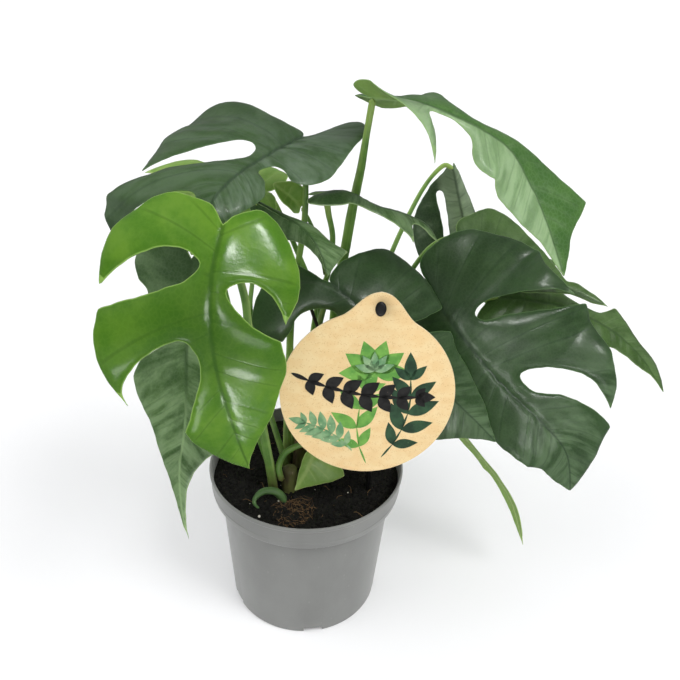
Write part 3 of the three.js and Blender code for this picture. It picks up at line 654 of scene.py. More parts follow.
@dataclass(frozen=True)
class StalkFinish:
    """Green stalk: pale and streaky on its sheath side, deeper on the other."""

    name: str
    tone: Shade
    deep: Shade
    pale: Shade
    foot: Shade
    knee: Shade

    def material(self, shared: Shared) -> Stuff:
        """Builds the material.

        Args:
            shared: The shader groups.

        Returns:
            The material.
        """
        board = MaterialBoard(self.name)
        along, around, place = board.kept("along"), board.kept("around"), board.object_place()
        lines = board.combined(along, around, 0.0)
        streaks = board.noise(board.vector("MULTIPLY", lines, (3.0, 26.0, 1.0)), 1.0, 4.0)
        inputs = {"Place": place, "Fleck scale": 1400.0, "Fleck share": 0.12}
        marks = board.group(shared.speckle, inputs)
        cloud = board.span(board.noise(place, 60.0), 0.35, 0.65)
        colour = board.mix(cloud, paint(self.tone), paint(self.deep))
        side = board.math("PINGPONG", around, 0.5)
        ragged = board.times(board.fade(along, 0.02, 0.2), board.span(streaks, 0.3, 0.55))
        for share, tone in (
            (board.times(board.fade(side, 0.12, 0.3), 0.75), self.pale),
            (board.times(board.span(streaks, 0.45, 0.7), 0.35), self.pale),
            (board.times(marks["Fleck"], 0.3), self.pale),
            (ragged, self.foot),
            (board.times(board.span(along, 0.9, 0.97), 0.7), self.knee),
        ):
            colour = board.mix(share, colour, paint(tone))
        return board.finish(streaks, 0.5, 0.00015, {
            "Base Color": colour,
            "Roughness": board.span(streaks, 0.3, 0.7, 0.34, 0.5),
            "Subsurface Weight": 0.1,
            "Subsurface Radius": (0.5, 1.0, 0.2),
            "Subsurface Scale": 0.002,
        })


class Palette:
    """Every finish of the plant, its pot and its tag, built once."""

    LEAVES = {
        # In the leaf finishes the third colour serves both the streaks and the painted sheen, and the
        # sixth is the rim, a painted highlight
        "bright": LeafFinish(
            "leaf_bright_green", (97, 139, 40), (74, 120, 28), (112, 152, 56), (44, 80, 18),
            (128, 166, 84), (150, 186, 92), gloss=0.2, wax=0.3, painted_shade=0.75, painted_shade_at=46.0,
            bleed=0.05, grain=0.3,
        ),
        "dark": LeafFinish(
            "leaf_deep_green", (49, 74, 40), (39, 62, 32), (98, 122, 88), (34, 54, 34), (100, 132, 82),
            (92, 124, 74), streak_share=0.2, left_sheen_share=0.1, right_sheen_share=0.15, tip_sheen_share=0.6,
            tip_sheen_from=80.0, gloss=0.29,
        ),
        "dusky": LeafFinish(
            "leaf_dusky_green", (60, 87, 45), (48, 75, 36), (100, 120, 96), (42, 62, 42), (106, 138, 88),
            (84, 112, 72), left_sheen_share=0.4, right_sheen_share=0.9, gloss=0.36,
        ),
        # Dark green; the pale grey-green near its midrib is painted sheen
        "slate": LeafFinish(
            "leaf_slate_green", (56, 80, 48), (46, 68, 38), (146, 166, 132), (38, 58, 36), (106, 138, 88),
            (84, 112, 72), left_sheen_share=0.95, right_sheen_share=0.95, painted_sheen_floor=0.6, painted_sheen_reach=8.0, gloss=0.36,
        ),
        # Green leaf with a pale painted sheen on its left half
        "sheened": LeafFinish(
            "leaf_silvery_green", (76, 116, 52), (60, 100, 42), (160, 188, 142), (54, 84, 42),
            (130, 162, 84), (140, 172, 108), streak_share=0.12, left_sheen_share=0.8, painted_sheen_floor=0.5,
            vein_share=0.2, gloss=0.36,
        ),
        "soft": LeafFinish(
            "leaf_soft_green", (62, 93, 43), (46, 77, 31), (144, 172, 124), (46, 72, 36), (140, 168, 116),
            (150, 176, 120), midrib=(140, 168, 116), streak_share=0.25, left_sheen_share=0.5, right_sheen_share=0.55,
            painted_shade=0.85, pale_from=60.0, vein_share=0.15, gloss=0.34,
        ),
        "olive": LeafFinish(
            "leaf_olive_green", (74, 104, 48), (56, 84, 34), (118, 144, 98), (46, 72, 32),
            (130, 160, 100), (132, 160, 98), right_sheen_share=0.25, gloss=0.36,
        ),
        "young": LeafFinish(
            "leaf_young_green", (138, 172, 84), (114, 152, 62), (160, 188, 106), (164, 190, 108),
            (150, 184, 100), (184, 206, 134), painted_shade=0.0, gloss=0.38, bleed=0.1,
        ),
    }
    STALK = StalkFinish(
        "stalk_green", (104, 146, 58), (74, 116, 44), (158, 186, 108), (92, 84, 50), (150, 178, 88),
    )
    PLAIN = {
        "pot": PlainFinish(
            "pot_grey_plastic", (133, 134, 131), (124, 125, 122), (158, 158, 154), fleck_share=0.1,
            fleck_size=0.0016, fleck_strength=0.25, cloud_size=0.03, stretch=(1.0, 1.0, 0.5), gloss=0.46,
            grain=0.00004, sheen=0.5,
        ),
        "soil": PlainFinish(
            "potting_soil", (22, 21, 17), (12, 11, 10), (74, 58, 42), fleck_share=0.14, fleck_size=0.0014,
            cloud_size=0.006, gloss=0.9, grain=0.0009,
        ),
        "crumb": PlainFinish(
            "soil_crumb", (22, 21, 17), (12, 11, 10), (70, 58, 44), fleck_share=0.08, fleck_size=0.0008,
            cloud_size=0.002, gloss=0.9, grain=0.0004, own_tone=True,
        ),
        "fibre": PlainFinish(
            "coir_fibre", (142, 112, 76), (72, 52, 34), (176, 148, 108), cloud_size=0.004, gloss=0.8,
            own_tone=True,
        ),
        "perlite": PlainFinish(
            "perlite_grain", (226, 222, 210), (188, 182, 168), (140, 132, 118), fleck_size=0.0006,
            gloss=0.8, grain=0.0002,
        ),
        "stem": PlainFinish(
            "stem_bark", (98, 104, 52), (66, 56, 36), (146, 132, 92), fleck_share=0.25, fleck_size=0.0012,
            cloud_size=0.006, stretch=(1.0, 1.0, 0.25), gloss=0.62, grain=0.0004, bleed=0.05,
        ),
        "sheath": PlainFinish(
            "curled_sheath_green", (84, 116, 66), (60, 90, 46), (170, 184, 140), cloud_size=0.006,
            stretch=(0.3, 1.0, 1.0), grain=0.0002, bleed=0.1,
        ),
        "card": PlainFinish(
            "kraft_card_face", (236, 210, 159), (232, 200, 146), (206, 166, 114), fleck_share=0.45,
            fleck_size=0.0007, fleck_strength=0.65, cloud_size=0.006, stretch=(0.8, 1.0, 1.0), gloss=0.82,
            grain=0.00006,
        ),
        "card_edge": PlainFinish(
            "kraft_card_cut_edge", (240, 222, 186), (214, 186, 140), (160, 122, 82), fleck_size=0.0006,
            cloud_size=0.003, gloss=0.9, grain=0.0001,
        ),
        "black": PlainFinish(
            "black_plastic", (22, 22, 22), (13, 13, 14), (66, 66, 66), fleck_share=0.08,
            fleck_size=0.0007, fleck_strength=0.4, gloss=0.38,
        ),
        "ink_black": PlainFinish(
            "print_brush_black", (26, 24, 22), (15, 14, 14), (120, 98, 70), fleck_share=0.06,
            fleck_size=0.0008, cloud_size=0.004, gloss=0.6, grain=0.00002,
        ),
        "ink_green": PlainFinish(
            "print_leaf_green", (116, 176, 66), (84, 148, 54), (150, 198, 104), fleck_size=0.0012,
            cloud_size=0.006, gloss=0.62, grain=0.00002,
        ),
        "ink_dark": PlainFinish(
            "print_dark_green", (38, 84, 48), (24, 58, 36), (88, 130, 84), fleck_size=0.0012,
            cloud_size=0.006, gloss=0.62, grain=0.00002,
        ),
        "ink_pale": PlainFinish(
            "print_pale_green", (142, 178, 128), (96, 146, 98), (214, 228, 186), fleck_size=0.0012,
            cloud_size=0.005, gloss=0.62, grain=0.00002,
        ),
    }

    def __init__(self) -> None:
        """Builds the shader groups; the materials are built when first asked for."""
        self.shared = Shared(speckle_group(), blade_figure_group())
        self.built: dict[str, Stuff] = {}

    def give(self, finish: LeafFinish | PlainFinish | StalkFinish) -> Stuff:
        """Gives a finish's material.

        Args:
            finish: The finish.

        Returns:
            Its material, the same one each time.
        """
        if finish.name not in self.built:
            self.built[finish.name] = finish.material(self.shared)
        return self.built[finish.name]

    def leaf(self, tone: str) -> Stuff:
        """Gives a blade's material by its tone."""
        return self.give(self.LEAVES[tone])

    def plain(self, stuff: str) -> Stuff:
        """Gives the material of a plain stuff by its name."""
        return self.give(self.PLAIN[stuff])


# Curves and meshes


def along_list(values: Sequence[float], place: Array | float) -> Array:
    """Reads a short list at places from 0 to 1 along it.

    Args:
        values: The list, evenly spread.
        place: Where to read it.

    Returns:
        The values there.
    """
    count = max(len(values), 2)
    return np.interp(place, np.linspace(0, 1, count), np.resize(values, count))


def spline_through(knots: Array, place: Array) -> Array:
    """Evaluates a uniform Catmull-Rom spline.

    Args:
        knots: Its knots with one more at each end.
        place: Parameters from 0 to 1.

    Returns:
        The points.
    """
    spans = len(knots) - 3
    scaled = np.clip(place, 0, 1) * spans
    index = np.minimum(scaled.astype(int), spans - 1)
    t = (scaled - index)[:, None]
    a, b, c, d = (knots[index + step] for step in range(4))
    bend, twist = 2 * a - 5 * b + 4 * c - d, 3 * b - a - 3 * c + d
    return 0.5 * (2 * b + (c - a) * t + bend * t**2 + twist * t**3)


def unit(rows: Array) -> Array:
    """Gives each row the length 1."""
    return rows / np.maximum(np.linalg.norm(rows, axis=1, keepdims=True), 1e-9)


def outward(loop: Array) -> Array:
    """Gives the outward direction at each corner of an anticlockwise loop."""
    run = np.roll(loop, -1, 0) - np.roll(loop, 1, 0)
    return unit(np.stack([run[:, 1], -run[:, 0]], 1))


def travelled(points: Array) -> Array:
    """Measures how far each point of a line lies along it."""
    return np.concatenate([[0], np.cumsum(np.linalg.norm(np.diff(points, axis=0), axis=1))])


def direction(turn: float, rise: float) -> Vector:
    """Gives a direction from its turn from +Y towards +X and its rise, in degrees."""
    turn, rise = math.radians(turn), math.radians(rise)
    return Vector(
        (math.sin(turn) * math.cos(rise), math.cos(turn) * math.cos(rise), math.sin(rise))
    )


class Route:
    """Smooth curve through points in space, measured along its length."""

    SAMPLES = 201
    NEAR = 0.002

    def __init__(self, points: Sequence[Sequence[float]]) -> None:
        """Measures the curve.

        Args:
            points: The points, in millimetres.
        """
        knots = np.array(points, float)
        self.knots = np.vstack([2 * knots[0] - knots[1], knots, 2 * knots[-1] - knots[-2]])
        self.parameters = np.linspace(0, 1, self.SAMPLES)
        self.lengths = travelled(spline_through(self.knots, self.parameters))
        self.length = float(self.lengths[-1])

    def at(self, place: Array) -> Array:
        """Gives the points at shares of the length."""
        wanted = np.interp(place * self.length, self.lengths, self.parameters)
        return spline_through(self.knots, wanted)

    def heading(self, place: Array) -> Array:
        """Gives the unit tangents at shares of the length."""
        ahead = self.at(np.minimum(place + self.NEAR, 1))
        return unit(ahead - self.at(np.maximum(place - self.NEAR, 0)))


def new_object(name: str, data: bpy.types.ID) -> Piece:
    """Puts an object into the scene.

    Args:
        name: Its name.
        data: Its mesh, curve, light or camera.

    Returns:
        The object.
    """
    piece = bpy.data.objects.new(name, data)
    bpy.context.scene.collection.objects.link(piece)
    return piece


def mesh_piece(
    name: str,
    points: Array | Sequence[Spot],
    faces: Sequence[Sequence[int]],
    materials: Sequence[Stuff],
    values: dict[str, Array] | None = None,
) -> Piece:
    """Makes a smooth mesh object from points in millimetres.

    Args:
        name: The object's name.
        points: The points.
        faces: Corner numbers of each face.
        materials: Its materials.
        values: Numbers to keep on the points, by name.

    Returns:
        The object, at the origin.
    """
    mesh = bpy.data.meshes.new(name)
    mesh.from_pydata((np.asarray(points) * MM).tolist(), [], [list(face) for face in faces])
    for material in materials:
        mesh.materials.append(material)
    for label, numbers in (values or {}).items():
        mesh.attributes.new(label, "FLOAT", "POINT").data.foreach_set("value", numbers)
    mesh.shade_smooth()
    mesh.update()
    return new_object(name, mesh)


def worked_out(piece: Piece) -> bpy.types.Mesh:
    """Works out a piece's modifiers.

    Args:
        piece: The piece.

    Returns:
        The mesh that they make.
    """
    bpy.context.view_layer.update()
    seen = piece.evaluated_get(bpy.context.evaluated_depsgraph_get())
    return bpy.data.meshes.new_from_object(seen)


def finish_piece(piece: Piece, nodes: Sequence[str]) -> None:
    """Ties a piece to the CAD frame.

    Args:
        piece: The piece.
        nodes: The CAD nodes that it stands for.
    """
    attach(piece, BODY)
    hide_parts(*nodes)
    log.info("%s: %d faces", piece.name, len(piece.data.polygons))


def grown(carrier: Piece, tree: Tree, settings: dict[str, object], name: str) -> Piece:
    """Runs a Geometry Nodes tree on an object and keeps only its result.

    Args:
        carrier: The object that the tree grows on; it is removed.
        tree: The tree.
        settings: Values of its inputs by their names.
        name: The new object's name.

    Returns:
        The new mesh object.
    """
    modifier = carrier.modifiers.new("grow", "NODES")
    modifier.node_group = tree
    for item in tree.interface.items_tree:
        if item.item_type == "SOCKET" and item.in_out == "INPUT" and item.name in settings:
            modifier[item.identifier] = settings[item.name]
    mesh = worked_out(carrier)
    mesh.name = name
    bpy.data.objects.remove(carrier)
    return new_object(name, mesh)


# Leaves


@dataclass(frozen=True)
class BladeSide:
    """Half of a blade: slope beside the rib, turn per millimetre, and edge.

    The edge runs from stalk to tip as (across, along), a third value marking a corner.
    """

    tilt: tuple[float, ...]
    curl: tuple[float, ...]
    edge: Rows


@dataclass(frozen=True)
class BladePlan:
    """A blade drawn flat and laid on a bent sheet.

    The rib is the midrib in space, and face holds the directions that the blade looks in,
    spread evenly along it. The wave is the height, pitch and phase of its ripples.
    """

    rib: Rows
    face: Rows
    right: BladeSide
    left: BladeSide
    wave: Spot = (0.0, 40.0, 0.0)


@dataclass(frozen=True)
class StalkPlan:
    """A round stalk: the points that it passes and its radius along them."""

    route: Rows
    radius: tuple[float, ...]


LEAVES: dict[str, BladePlan] = {
    "front_left": BladePlan(
        ((-38, -60, 279), (-42, -76, 261), (-42, -86, 241), (-39, -90, 217), (-32, -88, 184),
        (-27, -84, 162)),
        ((0.05, -0.75, 0.66), (0, -0.93, 0.36), (0.1, -0.98, 0.2)),
        BladeSide((-10, -8, -8), (-0.35, -0.3, -0.2), (
          (4, -5), (14, -11), (21, -9), (29, -2), (37, 8), (40, 20), (39, 33), (33, 49, 1), (31, 39),
          (27, 31), (20, 25), (13, 25), (7, 30), (10, 37), (17, 46), (30, 58, 1), (31, 75), (25, 88),
          (18, 100), (6, 115), (1, 124))),
        BladeSide((-6, -4, -8), (-0.25, -0.2, -0.2), (
          (-7, -8), (-14, -10), (-23, -12), (-31, -10), (-38, -5), (-47, 7), (-51, 18), (-51, 30, 1),
          (-38, 21), (-28, 16), (-19, 14), (-11, 15), (-6, 20), (-12, 27), (-20, 30), (-30, 33),
          (-42, 36), (-51, 38, 1), (-53, 50), (-52, 66), (-45, 81, 1), (-46, 73), (-41, 66), (-34, 60),
          (-26, 55), (-17, 52), (-11, 53), (-7, 61), (-9, 71), (-16, 85), (-23, 97, 1), (-20, 106),
          (-10, 119))),
        wave=(1.2, 46, 0.6),
    ),
    "upper_left": BladePlan(
        ((-5, 28, 295), (-25, -2, 291), (-36, -22, 288), (-44, -38, 283), (-48, -46, 275),
        (-49, -46, 263)),
        ((-0.05, -0.3, 0.95), (-0.15, -0.45, 0.88), (-0.3, -0.6, 0.73)),
        BladeSide((14, -6, -40), (-0.6, -0.8, -1), (
          (4, -6), (6, -16), (9, -27), (15, -33), (22, -28), (27, -16), (30, 0), (32, 14), (32, 26),
          (28, 37, 1), (21, 41), (14, 37), (8, 38), (5, 47), (12, 52), (17, 60, 1), (16, 69), (12, 82),
          (6, 94))),
        BladeSide((22, 18, 15), (-0.75, -0.8, -0.35), (
          (-2, -3), (-11, -1), (-22, 0), (-36, -2), (-52, -2), (-64, 8), (-65, 24), (-57, 42), (-50, 56),
          (-44.5, 73, 1), (-41, 66), (-36, 60), (-30, 52.5), (-24, 43), (-18, 33), (-12, 29), (-7, 32),
          (-5.5, 39), (-9, 48), (-15, 56), (-22, 62.5), (-32, 69), (-38, 75), (-46, 81), (-51, 87),
          (-55, 95), (-56, 106), (-52, 115, 1), (-44, 104), (-36, 94), (-26, 85.5), (-18, 81), (-12, 79),
          (-8, 81), (-7, 88), (-4, 97))),
        wave=(1, 50, 2),
    ),
    "top_right": BladePlan(
        ((29, 13, 319), (54, 7, 318), (81, 5, 308), (99, 6, 297), (109, 4, 284), (119, -3, 267),
        (134, -12, 235)),
        ((0.02, -0.14, 0.99), (0.41, -0.61, 0.68)),
        BladeSide((-14, 5, 22), (-0.6, -0.4, -0.1), (
          (6, -8), (18, -12), (32, -8), (40, 4), (44, 18), (42, 34, 1), (30, 36), (18, 40), (9, 50),
          (8, 63), (13, 83), (20, 100), (31, 120, 1), (15, 129), (8, 138))),
        BladeSide((55, 5, -20, -8, -8, -8, -8), (-0.5, -0.5, -1, -0.3, -0.25, -0.2, -0.2), (
          (-4, -7), (-10, -9), (-15, -5), (-15, 4), (-13, 12), (-15, 20), (-20, 28), (-26, 34),
          (-33, 40, 1), (-24, 37), (-13, 32), (-5, 29), (-3, 34), (-3, 43), (-8, 54), (-17, 57),
          (-22, 64), (-22, 80), (-22, 94, 1), (-16, 111), (-7, 128))),
        wave=(1, 55, 4),
    ),
    "right": BladePlan(
        ((75, 32, 198), (87, 22, 185), (108, 13, 162), (125, 5, 147), (143, -3, 133), (159, -8, 115),
        (168, -8, 84)),
        ((-0.15, -0.6, 0.78), (0, -0.8, 0.6), (0.3, -0.9, 0.3)),
        BladeSide((4, 4, 0), (-0.15,), (
          (2, -8), (4, -20), (11, -27), (31, -28), (47, -22), (61, -6), (71, 13), (74, 36), (72, 58, 1),
          (66, 45), (49, 32), (27, 20), (15, 21), (18, 29), (35, 38), (57, 54), (76, 71, 1), (70, 84),
          (64, 99), (54, 114), (39, 122, 1), (41, 114), (41, 102), (33, 87), (22, 74), (12, 70), (11, 84),
          (21, 97), (26, 108), (35, 128, 1), (27, 132), (20, 140), (9, 152))),
        BladeSide((-40, -15, -5, -5), (-0.3, -0.2), (
          (-3, -8), (-11, -14), (-21, -15), (-30, -7), (-35, 7), (-35, 22), (-32, 36, 1), (-23, 33),
          (-12, 33), (-12, 44), (-17, 58), (-22, 74), (-28, 88), (-27, 101), (-25, 116, 1), (-18, 130),
          (-12, 142))),
        wave=(1.2, 52, 1),
    ),
    "centre": BladePlan(
        ((11, 8, 220), (29, 0, 207), (51, -6, 187), (76, -10, 163), (98, -12, 142), (114, -12, 125)),
        ((0.15, -0.72, 0.68), (0.2, -0.85, 0.45)),
        BladeSide((-5,), (-0.25,), (
          (2, -2), (15, -3), (31, 3), (42, 10), (44, 24), (44, 38), (43, 50), (39, 62, 1), (25, 56),
          (14, 50), (8, 53), (14, 59), (24, 66), (31, 74, 1), (25, 83), (22, 94), (17, 107), (11, 121),
          (6, 130))),
        BladeSide((-5, -22, -34, -30, -15), (-0.25,), (
          (-2, -5), (-4, -17), (-10, -26), (-28, -26), (-47, -16), (-43, 3, 1), (-35, 2), (-28, 0),
          (-20, 2), (-12, 10), (-13, 22), (-20, 30), (-28, 38), (-32, 50), (-32, 62, 1), (-25, 60),
          (-16, 60), (-11, 66), (-14, 78), (-22, 89), (-26, 100), (-30, 112, 1), (-21, 119), (-13, 125),
          (-4, 136))),
        wave=(1, 48, 3),
    ),
    "lower_left": BladePlan(
        ((-61, -14, 242), (-62, -26, 224), (-62, -38, 203), (-62, -56, 171), (-65, -66, 147),
        (-64, -74, 126), (-61, -78, 109)),
        ((-0.3, -0.7, 0.6), (-0.3, -0.9, 0.3), (-0.2, -0.98, 0)),
        BladeSide((-6,), (-0.25,), (
          (5, -7), (10, -9), (15, -5), (17, 4), (17, 14), (15, 24), (13, 34), (14, 43), (26, 52),
          (32, 64), (30, 78), (22, 91, 1), (11, 104), (5, 116), (2, 130))),
        BladeSide((-6,), (-0.25,), (
          (-8, -10), (-20, -14), (-32, -10), (-39, -1), (-34, 10), (-26, 18), (-24, 34, 1), (-14, 29),
          (-8, 32), (-14, 44), (-30, 52), (-35, 61, 1), (-32, 72), (-22, 88), (-6, 116), (-1, 142))),
        wave=(1, 44, 5),
    ),
    "right_rear": BladePlan(
        ((122, 60, 188), (160, 56, 184), (192, 50, 172), (215, 44, 155), (236, 38, 130)),
        ((0.1, -0.5, 0.85), (0.3, -0.65, 0.7)),
        BladeSide((-8,), (-0.2,), (
          (4, -8), (18, -14), (34, -8), (44, 6), (46, 22), (42, 38, 1), (30, 34), (16, 36), (10, 46),
          (8, 58), (10, 67), (21, 76, 1), (16, 85), (10, 98), (10, 115), (6, 128))),
        BladeSide((-8,), (-0.2,), (
          (-5, -8), (-18, -14), (-30, -8), (-36, 8), (-38, 24), (-34, 38, 1), (-22, 34), (-12, 38),
          (-12, 50), (-20, 60), (-22, 72, 1), (-11, 80), (-8, 93), (-6, 106), (-1, 122))),
        wave=(0.8, 40, 1.5),
    ),
    "right_upper": BladePlan(
        ((94, 68, 222), (121, 62, 213), (150, 54, 203), (173, 50, 194), (188, 46, 189)),
        ((0, -0.72, 0.69), (0.2, -0.75, 0.63)),
        BladeSide((-8,), (-0.2,), (
          (5, -5), (13, -6), (22, 0), (32, 10), (33, 20), (30, 29), (25, 38, 1), (11, 63), (5, 71),
          (7, 78), (5, 88), (3, 96))),
        BladeSide((-8,), (-0.2,), (
          (-5, -6), (-15, -7), (-23, 3), (-23, 19), (-17, 35, 1), (-14, 50), (-8, 64), (-3, 77),
          (-2, 91))),
        wave=(0.6, 38, 0),
    ),
    "middle_arch": BladePlan(
        ((7, 20, 268), (20, 24, 267), (36, 25, 259), (50, 25, 255), (63, 23, 250), (72, 20, 240)),
        ((0, -0.05, 1), (0.1, -0.1, 0.95)),
        BladeSide((-25,), (-0.6,), (
          (4, -6), (11, -6), (12, 6), (10, 18), (13, 30), (17, 44), (16, 56, 1), (8, 52), (6, 60),
          (4, 68))),
        BladeSide((-14,), (-0.3,), (
          (-4, -9), (-10, -12), (-12, 6), (-8, 20), (-7, 34), (-12, 47), (-18, 60, 1), (-5, 54),
          (-3, 67))),
        wave=(0.5, 36, 2),
    ),
    "back_right": BladePlan(
        ((88, 88, 261), (93, 92, 245), (98, 94, 230), (104, 94, 210), (113, 90, 188), (123, 84, 165)),
        ((-0.3, -0.7, 0.6), (-0.5, -0.8, 0.2)),
        BladeSide((-55, -50), (-0.6,), (
          (2, -4), (6, 8), (10, 23), (13, 38), (15, 53, 1), (12, 70), (6, 88))),
        BladeSide((-10, -8), (-0.3,), (
          (-3, -3), (-9, 4), (-20, 15), (-33, 31), (-40, 44), (-41, 56), (-37, 69, 1), (-27, 62),
          (-17, 50), (-16, 33), (-15, 18), (-10, 18), (-11, 33), (-12, 48), (-13, 62), (-10, 79),
          (-5, 93))),
        wave=(0.6, 40, 4),
    ),
    "small_centre": BladePlan(
        ((-29, 14, 264), (-17, 8, 259), (-4, 0, 254), (5, -8, 244), (9, -12, 231)),
        ((0, -0.4, 0.9), (0, -0.6, 0.8)),
        BladeSide((-45, -25), (-0.5,), (
          (3, -4), (6, 8), (9, 20), (13, 30), (13, 40), (18, 47), (21, 51, 1), (10, 54))),
        BladeSide((-55, -50), (-0.6,), (
          (-5, -4), (-12, 5), (-13, 17), (-10, 29), (-6, 41), (-3, 52))),
    ),
    "low_right": BladePlan(
        ((97, 40, 104), (109, 36, 90), (130, 24, 68), (141, 14, 52), (151, 6, 23)),
        ((0.8, 0.4, 0.5), (0.9, 0.3, 0.2)),
        BladeSide((-5,), (-0.1,), (
          (3, -6), (9, -7), (13, 4), (13, 20), (10, 32), (12, 44, 1), (8, 50), (9, 66), (6, 83),
          (2, 97))),
        BladeSide((-5,), (-0.1,), (
          (-3, -6), (-8, -6), (-12, 6), (-12, 22), (-9, 34), (-12, 46, 1), (-8, 55), (-9, 71), (-6, 88),
          (-2, 99))),
    ),
    "back_left": BladePlan(
        ((-25, 38, 261), (-44, 44, 259), (-64, 46, 255), (-84, 44, 249), (-99, 38, 240)),
        ((-0.1, -0.4, 0.9), (-0.25, -0.5, 0.8)),
        BladeSide((-5,), (-0.3,), (
          (5, -6), (17, -8), (26, 2), (28, 16), (24, 30, 1), (15, 38), (14, 52), (9, 66))),
        BladeSide((-5,), (-0.3,), (
          (-5, -6), (-16, -7), (-24, 4), (-27, 19), (-27, 34), (-39, 46), (-44, 65, 1), (-30, 60),
          (-17, 57), (-9, 66))),
        wave=(0.6, 40, 1),
    ),
    "young_by_soil": BladePlan(
        ((5, -14, 121), (1, -21, 112), (-7, -27, 99)),
        ((0.1, -0.8, 0.6), (0, -0.8, 0.6)),
        BladeSide((-5,), (-0.5,), (
          (9, -1), (17, 4), (23, 9, 1), (15, 15), (6, 22))),
        BladeSide((-5,), (-0.5,), (
          (-4, 2), (-5, 10), (-3, 20))),
    ),
    "young_curled": BladePlan(
        ((-6, 37, 252), (-11, 34, 258), (-17, 30, 264), (-21, 26, 269)),
        ((-0.1, -0.8, 0.6),),
        BladeSide((35,), (1.6,), (
          (5, 1), (9, 8), (9, 17), (4, 23))),
        BladeSide((35,), (1.6,), (
          (-5, 1), (-9, 8), (-9, 16), (-5, 22))),
    ),
}

STALKS: dict[str, StalkPlan] = {
    "front_left": StalkPlan(((-19.5, -20, 84), (-20, -20, 100), (-27, -28, 165), (-30, -40, 215),
        (-31, -46, 236), (-35, -56, 262), (-38, -59.5, 277)), (3.2, 1.7)),
    "upper_left": StalkPlan(((-13, 4, 84), (-13, 4, 100), (-12, 10, 150), (-11, 17, 190), (-8, 20, 220),
        (-4, 23, 250), (-4, 30, 278), (-5, 29.3, 293)), (3, 1.5)),
    "top_right": StalkPlan(((8, 10, 84), (8, 10, 100), (13.5, 31, 144), (15.5, 43, 188), (20.5, 47, 227),
        (23, 46, 248), (24.5, 41, 261), (26, 30, 278), (27, 20, 296), (28.9, 13.1, 318)),
        (3.4, 3.4, 3.2, 1.4)),
    "right": StalkPlan(((14, -5, 84), (14, -5, 100), (24, -4, 125), (40, 4, 155), (54, 18, 182),
        (66, 30, 196), (74, 32, 198)), (3, 1.6)),
    "centre": StalkPlan(((4, -4, 84), (4, -4, 100), (2, 3, 125), (1, 12, 155), (5, 16, 185), (9, 14, 206),
        (10.5, 8.5, 219)), (3, 1.6)),
    "lower_left": StalkPlan(((-20, -10, 84), (-21, -10, 100), (-34, -11, 150), (-42, -8, 200),
        (-50, -3, 236), (-57, -5, 247), (-61, -12.5, 243)), (2.8, 1.4)),
    "right_rear": StalkPlan(((39, 18, 84), (39, 18, 100), (50, 26, 130), (70, 42, 160), (95, 56, 180),
        (121, 60, 188)), (3, 1.5)),
    "right_upper": StalkPlan(((33, 21, 84), (33, 21, 100), (38, 34, 140), (50, 52, 180), (70, 66, 212),
        (84, 70, 222), (93, 68, 222)), (2.8, 1.3)),
    "middle_arch": StalkPlan(((-2, 13, 84), (-2, 13, 100), (0, 28, 150), (4, 33, 190), (10, 31, 215),
        (12, 28, 237), (9, 24, 254), (7.2, 20.8, 265.5)), (2.6, 1.5)),
    "middle_arch_BRANCH": StalkPlan(((9, 31.5, 212), (5, 35, 229), (-1, 38, 243), (-5.9, 37.1, 251.8)),
        (1.3, 1)),
    "back_right": StalkPlan(((26, 18, 84), (26, 18, 100), (32, 40, 150), (46, 64, 200), (66, 82, 244),
        (80, 89, 262), (87.5, 88.2, 261.5)), (2.8, 1.2)),
    "small_centre": StalkPlan(((-12, -7, 84), (-12.5, -7, 100), (-24, -4, 145), (-30, -2, 174),
        (-33, 2, 204), (-32, 6, 219), (-30, 12, 239), (-29, 16, 254), (-29, 14.5, 263)), (2.2, 1.1)),
    "low_right": StalkPlan(((41, 8, 84), (41, 8, 100), (48, 14, 124), (64, 28, 136), (82, 38, 126),
        (96, 40, 105.5)), (2.4, 1.2)),
    "back_left": StalkPlan(((-10, 10, 84), (-10, 10, 100), (-2, 18, 135), (4, 24, 170), (6, 27, 193),
        (-3, 30, 216), (-17, 35, 247), (-24.5, 38, 260)), (2.6, 1.2)),
    "young_by_soil": StalkPlan(((-14.5, -23, 103), (-16.5, -22, 113), (-13, -19, 121), (-5, -16, 124.5),
        (2, -14, 124.5), (4.8, -14, 121.6)), (1.8, 1.6)),
}

STEMS: dict[str, StalkPlan] = {
    "stem_front": StalkPlan(((-9, -17, 80), (-9.5, -17, 98), (-10, -18, 110)), (5.5, 5.5, 4)),
    "stem_middle": StalkPlan(((-4, 4, 80), (-4, 4, 100), (-4.5, 4, 116)), (5, 5, 3.4)),
    "stem_right": StalkPlan(((15, 4, 80), (15, 4, 100), (15.5, 4, 114)), (5, 5, 3.4)),
    "stem_rear": StalkPlan(((33, 11, 80), (33, 11, 100), (33, 11.5, 115)), (5, 5, 3.4)),
}
CURLED_SHEATH = StalkPlan(((-13, -28, 88), (-14, -28.5, 95), (-18, -29, 100), (-25, -30, 101),
    (-30, -33, 98), (-29.5, -36, 96), (-27, -38, 95.4)), (2.4, 2.2, 1.8, 0.6))


